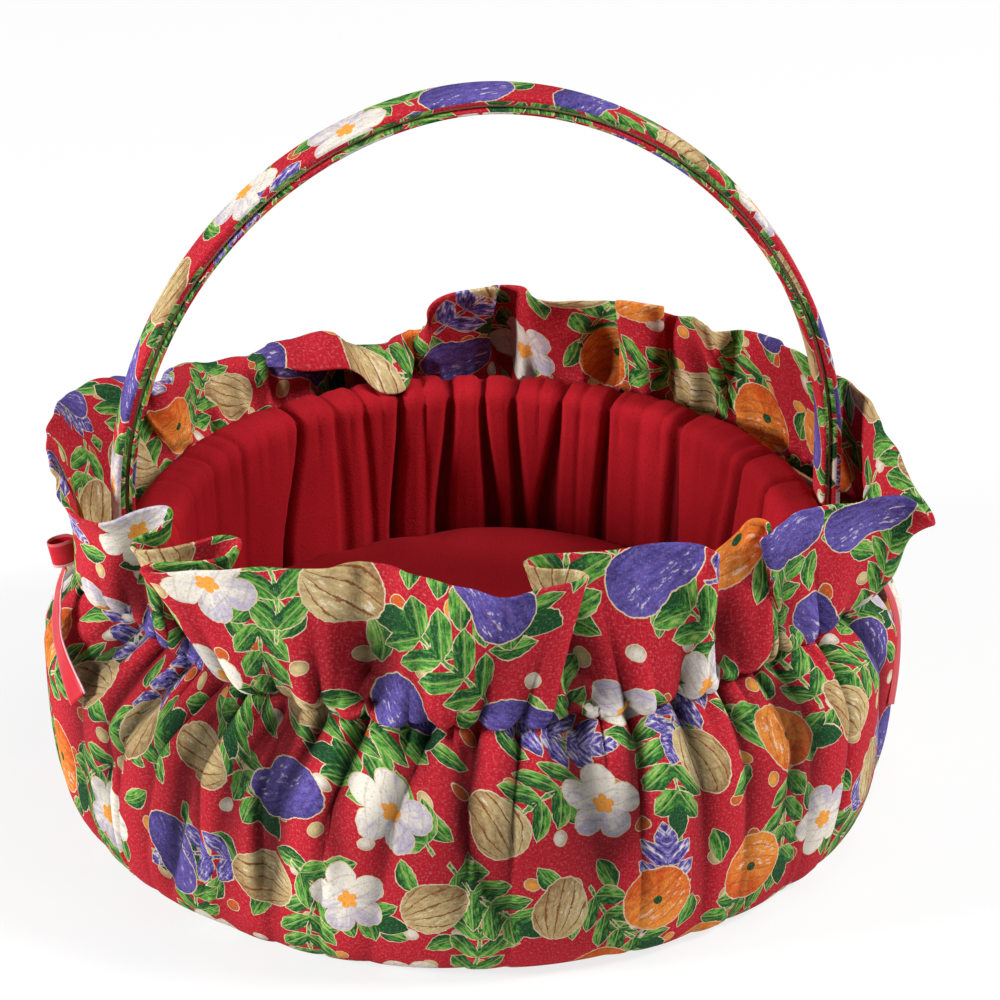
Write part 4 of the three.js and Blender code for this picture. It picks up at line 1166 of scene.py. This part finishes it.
class BASKET_OT_lining(bpy.types.Operator):
    """Hang the plain lining in upright folds and roll it over the rim"""

    bl_idname = "basket.lining"
    bl_label = "Lining"

    def execute(self, context):
        settings = context.scene.basket_cloth
        angle = np.linspace(0, TURN, LINING_COLUMNS, endpoint=False)
        profile, roll_row = self.profile(settings)
        height, passed = profile[:, 1], walked(profile)
        low_z, roll_start = height[0], passed[roll_row]
        middle = polar(profile[None, :, 0], angle[:, None], height[None])
        to_roll = np.abs(passed - roll_start)
        upward = smoothstep(height, LINING_FOLD_LOW, LINING_FOLD_TOP)
        upward = np.where(passed < roll_start, upward, 1)
        stand = self.pleats(angle, upward)
        hidden = [360 + place for place in LINING_PLAIN_FOLDS[::-1]]
        rim_places = split_places(RIM_SEED, sorted(row[0] for row in LINING_FOLDS) + hidden, RIM_PUCKER_GAP)
        puckers = Gathers(rim_places, **RIM_PUCKERS).swell_at(angle, to_roll, LINING_INNER_R)
        puckers = (puckers - RIM_PUCKER_SINK) * hump(to_roll, RIM_PUCKER_REACH)
        climb = smoothstep(height, low_z, low_z + 5 * MM)
        over = smoothstep(passed, roll_start - 14 * MM, roll_start + 5 * MM)
        hidden_share = smoothstep(passed, roll_start + 6 * MM, passed[-FLAP_ROWS - 1])
        fullness = climb * (1 - 0.2 * over) * (1 - hidden_share)
        soft = LINING_WAVE * wander(angle[:, None], height[None], LINING_WAVE_SEED, LINING_WAVE_PITCH)
        inward = np.maximum(stand * settings.lining_fold + puckers + soft, 0) * fullness
        middle = middle - face_normals(middle) * inward[..., None]
        loop = two_faces(middle[:, ::-1], settings.cloth_thickness / 2, 1)
        flat_length = TURN * LINING_INNER_R * LINING_FULLNESS
        along = np.linspace(0, flat_length, len(loop))
        # Painted shade: darkest deep in the lining's folds up the wall, and half as dark over the roll
        folds = (1 - climb * (1 - 0.5 * over) * (1 - smoothstep(stand, 0.05, 0.7)))[:, ::-1]
        folds = loop_rows(folds, folds, 1)
        lining = sew("lining_cloth", loop, along, walked_rows(loop), "basket_lining", folds)
        ride(lining, "basket", "red_cotton", "lining")
        return {"FINISHED"}

    def profile(self, settings):
        """Radius and height of each row, from the hem under the pad over the rim; and the roll's row."""
        half = settings.cloth_thickness / 2
        inner_r, outer_r, roll_z = LINING_INNER_R, LINING_OUTER_R, LINING_ROLL_Z
        low_z, top_z = LINING_LOW.z + half, LINING_HIGH.z - half - 0.8 * settings.lining_fold - 0.9 * MM
        hem = outline_rows(np.linspace(inner_r - LINING_HEM, inner_r, HEM_ROWS), low_z)[:-1]
        rise = outline_rows(inner_r, np.linspace(low_z, roll_z, WALL_ROWS))
        turn = np.linspace(math.pi, 0, ROLL_ROWS)[1:]
        roll_r = (inner_r + outer_r) / 2 + (outer_r - inner_r) / 2 * np.cos(turn)
        roll = outline_rows(roll_r, roll_z + (top_z - roll_z) * np.sin(turn) ** 0.8)
        flap_z = np.linspace(roll_z - 1 * MM, roll_z - LINING_FLAP, FLAP_ROWS)
        flap = outline_rows(WALL_HIGH.x + 1.2 * MM, flap_z)
        return np.concatenate([hem, rise, roll, flap]), len(hem) + len(rise)

    def pleats(self, angle, upward):
        """How far the lining stands in from the wall between its folds, from 0 to 1."""
        draw = random.Random(LINING_SEED)
        hidden = [(place, place + draw.uniform(-2, 2), *LINING_PLAIN_SHAPE) for place in LINING_PLAIN_FOLDS]
        stand = np.ones((len(angle), len(upward)))
        for top, low, top_half, low_half, depth in LINING_FOLDS + hidden:
            place = np.radians(low + (top - low) * upward)
            aside = turn_between(angle[:, None], place)
            flank = np.where(aside > 0, draw.uniform(*LINING_FLANKS), draw.uniform(*LINING_FLANKS)) * MM
            away = np.abs(aside) * LINING_INNER_R - (low_half + (top_half - low_half) * upward) * MM
            risen = 0.85 * smoothstep(away, 0, flank) + 0.15 * smoothstep(away, 1 * MM, 9 * MM)
            stand = np.minimum(stand, 1 - depth * (1 - risen))
        return stand


def turned_solid(name, outline, material):
    """A solid of revolution from a closed outline of radius and height, as a sewn grid."""
    angle = np.linspace(0, TURN, FILL_STEPS + 1)
    outline = np.array([*outline, outline[0]], float)
    places = polar(outline[None, :, 0], angle[:, None], outline[None, :, 1])
    return sew(name, places, angle * outline[:, 0].max(), walked(outline), material)


class BASKET_OT_filling(bpy.types.Operator):
    """Pack the filling under the cover and roll the wadding over the rim"""

    bl_idname = "basket.filling"
    bl_label = "Filling and wadding"

    def execute(self, context):
        wall = WADDING_HIGH.x + FILL_GAP
        fill = self.stuffing(wall)
        ride(fill, "basket", "fibre_fill", "stuffing")
        roll = self.wadding(wall)
        ride(roll, "basket", "fibre_fill", "rim_wadding")
        return {"FINISHED"}

    def stuffing(self, wall):
        """Filling between the wall and the cover, and under the floor."""
        low_z, under_z = HEM_Z + FILL_INSET / 2, FLOOR_LOW.z - FILL_GAP
        side_r, side_z = rounded_side(FILL_SIDE_ROWS, HEM_Z)
        rise = np.linspace(0, 1, FILL_SHOULDER_ROWS)[1:-2]
        top_r = BELLY_R - FILL_INSET - FILL_SHOULDER_INSET * rise - (BELLY_R - BAND_R) * rise**SHOULDER_POWER
        top_z = BELLY_Z + (GATHER_Z - BELLY_Z) * rise
        outline = [(FILL_HOLE_R, low_z), (50 * MM, low_z)]
        outline += [*zip(side_r - FILL_INSET, side_z + FILL_INSET / 2), *zip(top_r, top_z)]
        outline += [(wall + FILL_LEDGE, top_z[-1]), (wall + FILL_LEDGE, FLOOR_LOW.z + 12 * MM)]
        outline += [(wall, FLOOR_LOW.z + 9 * MM), (wall, under_z), (FILL_HOLE_R, under_z)]
        fill = turned_solid("stuffing_fill", outline, "basket_fibre")
        points = points_of(fill)
        outside = np.hypot(points[:, 0], points[:, 1]) > wall + 5 * MM
        points[:, 0] += np.where(outside, SAG * (1 - smoothstep(points[:, 2], BELLY_Z, GATHER_Z)), 0)
        move_points(fill, points)
        return fill

    def wadding(self, wall):
        """Layer inside the wall and over its edge."""
        low_z, top_z = WADDING_LOW.z, WALL_HIGH.z + 0.3 * MM
        arc = np.linspace(0, math.pi, 9)
        middle, half = (WADDING_INNER_R + wall) / 2 - 0.2 * MM, (wall - WADDING_INNER_R) / 2 - 0.2 * MM
        dome = zip(middle + half * np.cos(arc), top_z + WADDING_DOME * np.sin(arc))
        outline = [(WADDING_INNER_R, low_z), (WADDING_OUTER_R, low_z), (WADDING_OUTER_R, top_z), *dome]
        return turned_solid("wadding_roll", outline, "basket_fibre")


def simulate_swelling(pad, pressure, frames, cap):
    """Blow a closed pad up a little as cloth, hold its points near their start, and keep the result."""
    start = points_of(pad)
    cloth = pad.modifiers.new("swell", "CLOTH")
    cloth.settings.use_pressure = True
    cloth.settings.uniform_pressure_force = pressure
    cloth.settings.effector_weights.gravity = 0
    cloth.settings.quality = 6
    cloth.point_cache.frame_start = 1
    cloth.point_cache.frame_end = frames
    for number in range(1, frames + 1):
        bpy.context.scene.frame_set(number)
    bpy.ops.object.modifier_apply(modifier=cloth.name)
    bpy.context.scene.frame_set(1)
    step = points_of(pad) - start
    size = np.linalg.norm(step, axis=1, keepdims=True)
    move_points(pad, start + step * np.minimum(1, cap / np.maximum(size, TINY)))


class BASKET_OT_floor_pad(bpy.types.Operator):
    """Stuff the loose pad on the floor"""

    bl_idname = "basket.floor_pad"
    bl_label = "Floor pad"

    def execute(self, context):
        tall = PAD_HIGH.z - PAD_LOW.z
        bpy.ops.object.select_all(action="DESELECT")
        bpy.ops.mesh.primitive_cylinder_add(
            vertices=PAD_SIDES, radius=PAD_HIGH.x - PAD_START_INSET, depth=tall - PAD_START_LOSS,
            location=(0, 0, PAD_LOW.z + tall / 2 - 2 * MM),
        )
        pad = bpy.context.object
        pad.name = pad.data.name = "floor_pad_cushion"
        bpy.ops.object.transform_apply(location=True, rotation=True, scale=True)
        edit_all((bpy.ops.mesh.bevel, {"offset": PAD_BEVEL, "segments": 3, "affect": "EDGES"}))
        modify(pad, "REMESH", mode="VOXEL", voxel_size=PAD_CELL)
        simulate_swelling(pad, PAD_PRESSURE, PAD_FRAMES, PAD_CAP)
        modify(pad, "SMOOTH", factor=0.5, iterations=5)
        move_points(pad, self.settled(points_of(pad)))
        modify(pad, "SUBSURF", levels=1, render_levels=1)
        bpy.ops.object.shade_smooth()
        # The darker copy of the lining cotton, as painted shade
        dress(pad, bpy.data.materials["basket_plain_shaded"])
        ride(pad, "floor_pad", "red_cotton", "pad_cover", "pad_filling")
        return {"FINISHED"}

    def settled(self, points):
        """The points of the pad with its crown, its raised edge and its foot spread over the board."""
        radius, low, high = PAD_HIGH.x, PAD_LOW.z, PAD_HIGH.z
        angle = np.arctan2(points[:, 1], points[:, 0])
        reach = np.hypot(points[:, 0], points[:, 1])
        height = points[:, 2]
        upper = height > low + 6 * MM
        crown = PAD_CROWN * np.clip(1 - (reach / radius) ** 2, 0, 1)
        pull = PAD_PULL * np.sin(angle * PAD_GATHERS + 2 * np.sin(3 * angle))
        pull = pull * smoothstep(reach, 0.7 * radius, radius)
        lift = PAD_LIFT * smoothstep(reach, 0.56 * radius, 0.86 * radius)
        height = height + (crown + pull) * upper + lift * smoothstep(height, low + 5 * MM, low + 11 * MM)
        side = smoothstep(reach, 0.8 * radius, 0.94 * radius) * (1 - smoothstep(height, low + 6 * MM, high))
        foot = smoothstep(reach, 0.6 * radius, 0.86 * radius)
        foot = foot * (1 - smoothstep(height, low + 2 * MM, low + 8 * MM))
        spread = PAD_SIDE_SPREAD * side + PAD_FOOT_SPREAD * foot
        wanted = np.minimum(reach + spread, radius - 0.3 * MM)
        places = points[:, :2] * (wanted / np.maximum(reach, 1e-6))[:, None]
        return np.column_stack([places, np.clip(height, low + 0.1 * MM, high + 0.4 * MM)])


def arch_line():
    """Middle line of the handle and its outward normals: up one leg, over the arch and down the other."""
    half = HANDLE_HIGH.x - HANDLE_T / 2
    rise = HANDLE_HIGH.z - HANDLE_T / 2 - ARCH_SPRING_Z
    leg = np.linspace(HANDLE_LOW.z, ARCH_SPRING_Z, LEG_STEPS)[:-1]
    turn = np.linspace(0, math.pi, ARCH_STEPS)
    across, up = rounded_off(np.cos(turn), ARCH_POWER), rounded_off(np.sin(turn), ARCH_POWER)
    x = np.concatenate([np.full(len(leg), half), half * across, np.full(len(leg), -half)])
    z = np.concatenate([leg, ARCH_SPRING_Z + rise * up, leg[::-1]])
    line = np.stack([x, z], -1)
    along = unit(np.gradient(line, axis=0))
    return line, np.stack([along[:, 1], -along[:, 0]], -1)


class BASKET_OT_handle(bpy.types.Operator):
    """Cover the handle with two printed strips that meet at a seam"""

    bl_idname = "basket.handle"
    bl_label = "Handle strips"

    def execute(self, context):
        half = HANDLE_T / 2
        meet = HANDLE_INNER_HIGH.x - (HANDLE_HIGH.x - half)
        self.strip("handle_outer_strip", meet + HANDLE_SEAM, half, 0.0, "handle_outer_cover")
        self.strip("handle_inner_strip", -half, meet, INNER_PRINT_START, "handle_inner_cover")
        return {"FINISHED"}

    def strip(self, name, inner, outer, print_start, node):
        """One strip along the handle, between two levels about its middle line."""
        line, normal = arch_line()
        turn = np.linspace(0, TURN, STRIP_STEPS)
        across = rounded_off(np.cos(turn), STRIP_ROUNDING) * HANDLE_HIGH.y
        level = rounded_off(np.sin(turn), STRIP_ROUNDING) * (outer - inner) / 2 + (inner + outer) / 2
        along, around = walked(line), walked(np.stack([across, level], -1))
        sway = 1 + 0.012 * np.sin(along / (7 * MM)) + 0.01 * np.sin(along / (19 * MM) + 1)
        x = line[:, None, 0] + normal[:, None, 0] * level[None]
        z = line[:, None, 1] + normal[:, None, 1] * level[None]
        y = -across[None] * sway[:, None]
        places = np.stack([x, y, z], -1)
        piece = sew(name, places, along + print_start, around + print_start, "basket_print")
        close_ends()
        ride(piece, "basket", "printed_cotton", node)


def ribbon_strip(settings, name, route, facing, widths):
    """A flat ribbon along its route; facing points away from its face, and widths are those at each point."""
    along = unit(np.gradient(route, axis=0))
    side = unit(np.cross(along, facing))
    face = np.cross(side, along)
    places = route[:, None] + side[:, None] * (RIBBON_SPREAD[None] * widths[:, None])[..., None]
    places = places + face[:, None] * (RIBBON_LIFT * settings.ribbon_thickness)[None, :, None]
    ribbon = sew(name, places, walked(route), RIBBON_SPREAD * widths.max(), "basket_satin")
    close_ends()
    return ribbon


class BASKET_OT_ribbons(bpy.types.Operator):
    """Tie a satin ribbon at each foot of the handle"""

    bl_idname = "basket.ribbons"
    bl_label = "Ribbon ties"

    def execute(self, context):
        settings = context.scene.basket_cloth
        for side, (rows, twist, lift) in TAILS.items():
            self.tail(settings, side, np.array(rows, float), twist, lift)
            self.loop(settings, side)
        return {"FINISHED"}

    def tail(self, settings, side, rows, twist, lift):
        """A loose end of ribbon, from under the ruffle down the cover."""
        marks = polar(rows[:, 1] + lift, np.radians(rows[:, 0]), rows[:, 2])
        route = points_along(marks, np.arange(len(marks)), np.linspace(0, len(marks) - 1, TAIL_POINTS))
        for _ in range(TAIL_SMOOTHING):
            route[1:-1] = (route[:-2] + 2 * route[1:-1] + route[2:]) / 4
        share = np.linspace(0, 1, len(route))
        heading = np.arctan2(route[:, 1], route[:, 0]) + twist * smoothstep(share, 0.05, 0.5)
        widths = settings.ribbon_width * eased(0.78, 1, share, 0, 0.18)
        ribbon = ribbon_strip(settings, f"ribbon_tail_{side}_satin", route, polar(1, heading, 0), widths)
        ride(ribbon, "basket", "satin_ribbon", f"ribbon_tail_{side}")

    def loop(self, settings, side):
        """A loop of ribbon that stands out from under the ruffle."""
        low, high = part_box(f"ribbon_loop_{side}")
        middle = (low + high) / 2
        heading = math.atan2(middle.y, middle.x)
        radial = np.array([math.cos(heading), math.sin(heading), 0])
        level = np.array([-math.sin(heading), math.cos(heading), 0])
        rise = np.array([0, 0, 1.0])
        axis = rise * math.cos(LOOP_LEAN) + radial * math.sin(LOOP_LEAN)
        outward = radial * math.cos(LOOP_LEAN) - rise * math.sin(LOOP_LEAN)
        turn = np.linspace(LOOP_TURN, -LOOP_TURN, LOOP_POINTS)
        run = (1 + np.cos(turn)) / 2
        swing = LOOP_BULGE / 2 * np.sin(turn) * (0.55 + 0.45 * run)
        start = radial * (math.hypot(middle.x, middle.y) - LOOP_INWARD) + rise * (middle.z + LOOP_RAISE)
        route = start + LOOP_LENGTH * run[:, None] * outward + swing[:, None] * level
        facing = np.cross(axis, unit(np.gradient(route, axis=0)))
        widths = settings.ribbon_width * eased(0.75, 1.1, run, 0, 0.4)
        ribbon = ribbon_strip(settings, f"ribbon_loop_{side}_satin", route, facing, widths)
        ride(ribbon, "basket", "satin_ribbon", f"ribbon_loop_{side}")


class BASKET_OT_finishes(bpy.types.Operator):
    """Make the finishes, and give the card, elastic, brass and base their own"""

    bl_idname = "basket.finishes"
    bl_label = "Finishes"

    def execute(self, context):
        settings, colours = context.scene.basket_cloth, context.scene.basket_colours
        printed_cotton(settings, colours)
        red_cotton(settings, colours, "basket_lining", True)
        # A darker copy of the lining cotton, as painted shade, for the pad and the base
        plain = red_cotton(settings, colours, "basket_plain_shaded", False)
        satin_ribbon(settings, colours)
        fibre_fill()
        wearers = {
            plain: ["base_disc"],
            card(): ["shell_floor", "shell_wall", "pad_board", "handle_core"],
            elastic(): ["rim_elastic"],
            brass(): [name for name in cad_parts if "brad" in name],
        }
        for material, nodes in wearers.items():
            for name in nodes:
                dress(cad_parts[name], material)
        return {"FINISHED"}


class BASKET_OT_stage(bpy.types.Operator):
    """Set the floor, the light and the camera"""

    bl_idname = "basket.stage"
    bl_label = "Stage"

    def execute(self, context):
        scene = context.scene
        scene.view_settings.view_transform = "Standard"
        self.floor(scene.basket_stage.backdrop)
        self.world(scene)
        target = Vector(scene.basket_stage.target)
        for name, (place, size, power) in LAMPS.items():
            self.lamp(name, place, size, power, target)
        self.camera(scene, target)
        return {"FINISHED"}

    def floor(self, colour):
        """Pale floor that shows bright in gloss and keeps the shadow."""
        bpy.ops.object.select_all(action="DESELECT")
        bpy.ops.mesh.primitive_plane_add(size=FLOOR_SIZE, location=(0, 0, -FLOOR_DROP))
        floor = bpy.context.object
        floor.name = "floor"
        bpy.ops.object.transform_apply(location=True)
        sh = Shader("backdrop")
        plain = sh.add("BsdfDiffuse", None, {"Color": (*colour, 1)})
        white = sh.add("Emission", None, {"Color": (1, 1, 1, 1), "Strength": 1.0})
        rays = sh.add("LightPath")
        seen = rays.most(rays.part("Is Glossy Ray")).most(rays.part("Is Transmission Ray"))
        sh.add_output(sh.add("MixShader", None, {0: seen * BACKDROP_GLOW, 1: plain, 2: white}))
        floor.data.materials.append(sh.material)

    def world(self, scene):
        """White to the camera, and dim as a light."""
        world = bpy.data.worlds.new("studio")
        scene.world = world
        world.use_nodes = True
        nodes, links = world.node_tree.nodes, world.node_tree.links
        rays = nodes.new("ShaderNodeLightPath")
        strength = nodes.new("ShaderNodeMapRange")
        strength.inputs["To Min"].default_value = WORLD_LIGHT
        strength.inputs["To Max"].default_value = 1.0
        links.new(rays.outputs["Is Camera Ray"], strength.inputs["Value"])
        background = nodes["Background"]
        background.inputs["Color"].default_value = (1, 1, 1, 1)
        links.new(strength.outputs["Result"], background.inputs["Strength"])

    def lamp(self, name, place, size, power, target):
        """A soft lamp that faces the target."""
        light = bpy.data.lights.new(name, "AREA")
        light.energy = power
        light.size = size
        lamp = bpy.data.objects.new(name, light)
        lamp.location = place
        lamp.rotation_euler = (target - Vector(place)).to_track_quat("-Z", "Y").to_euler()
        bpy.context.scene.collection.objects.link(lamp)

    def camera(self, scene, target):
        """A camera on its orbit, facing the target."""
        stage = scene.basket_stage
        turn, tilt = math.radians(stage.azimuth), math.radians(stage.elevation)
        back = Vector((math.sin(turn) * math.cos(tilt), -math.cos(turn) * math.cos(tilt), math.sin(tilt)))
        data = bpy.data.cameras.new("camera")
        data.lens = stage.lens
        data.clip_end = CAMERA_SIGHT
        camera = bpy.data.objects.new("camera", data)
        camera.location = target + back * stage.distance
        camera.rotation_euler = (-back).to_track_quat("-Z", "Y").to_euler()
        scene.collection.objects.link(camera)
        scene.camera = camera


class BASKET_PT_panel(bpy.types.Panel):
    """The basket's sizes, colours and steps"""

    bl_idname = "BASKET_PT_panel"
    bl_label = "Fabric basket"
    bl_space_type = "VIEW_3D"
    bl_region_type = "UI"
    bl_category = "Basket"

    def draw(self, context):
        for name in SETTINGS:
            group = getattr(context.scene, name)
            box = self.layout.box()
            for key in group.bl_rna.properties.keys():
                if key not in ("rna_type", "name"):
                    box.prop(group, key)
        for step in STEPS:
            self.layout.operator(step.bl_idname)


SETTINGS = {"basket_cloth": BasketCloth, "basket_colours": BasketColours, "basket_stage": BasketStage}
STEPS = (
    BASKET_OT_stage, BASKET_OT_finishes, BASKET_OT_ribbons, BASKET_OT_filling, BASKET_OT_cover,
    BASKET_OT_ruffle, BASKET_OT_lining, BASKET_OT_floor_pad, BASKET_OT_handle,
)


def register():
    for group in SETTINGS.values():
        bpy.utils.register_class(group)
    for name, group in SETTINGS.items():
        setattr(bpy.types.Scene, name, PointerProperty(type=group))
    for step in (*STEPS, BASKET_PT_panel):
        bpy.utils.register_class(step)


def unregister():
    for step in reversed((*STEPS, BASKET_PT_panel)):
        bpy.utils.unregister_class(step)
    for name, group in SETTINGS.items():
        delattr(bpy.types.Scene, name)
        bpy.utils.unregister_class(group)


def main():
    register()
    for step in STEPS:
        group, name = step.bl_idname.split(".")
        getattr(getattr(bpy.ops, group), name)()


if __name__ == "__main__":
    main()
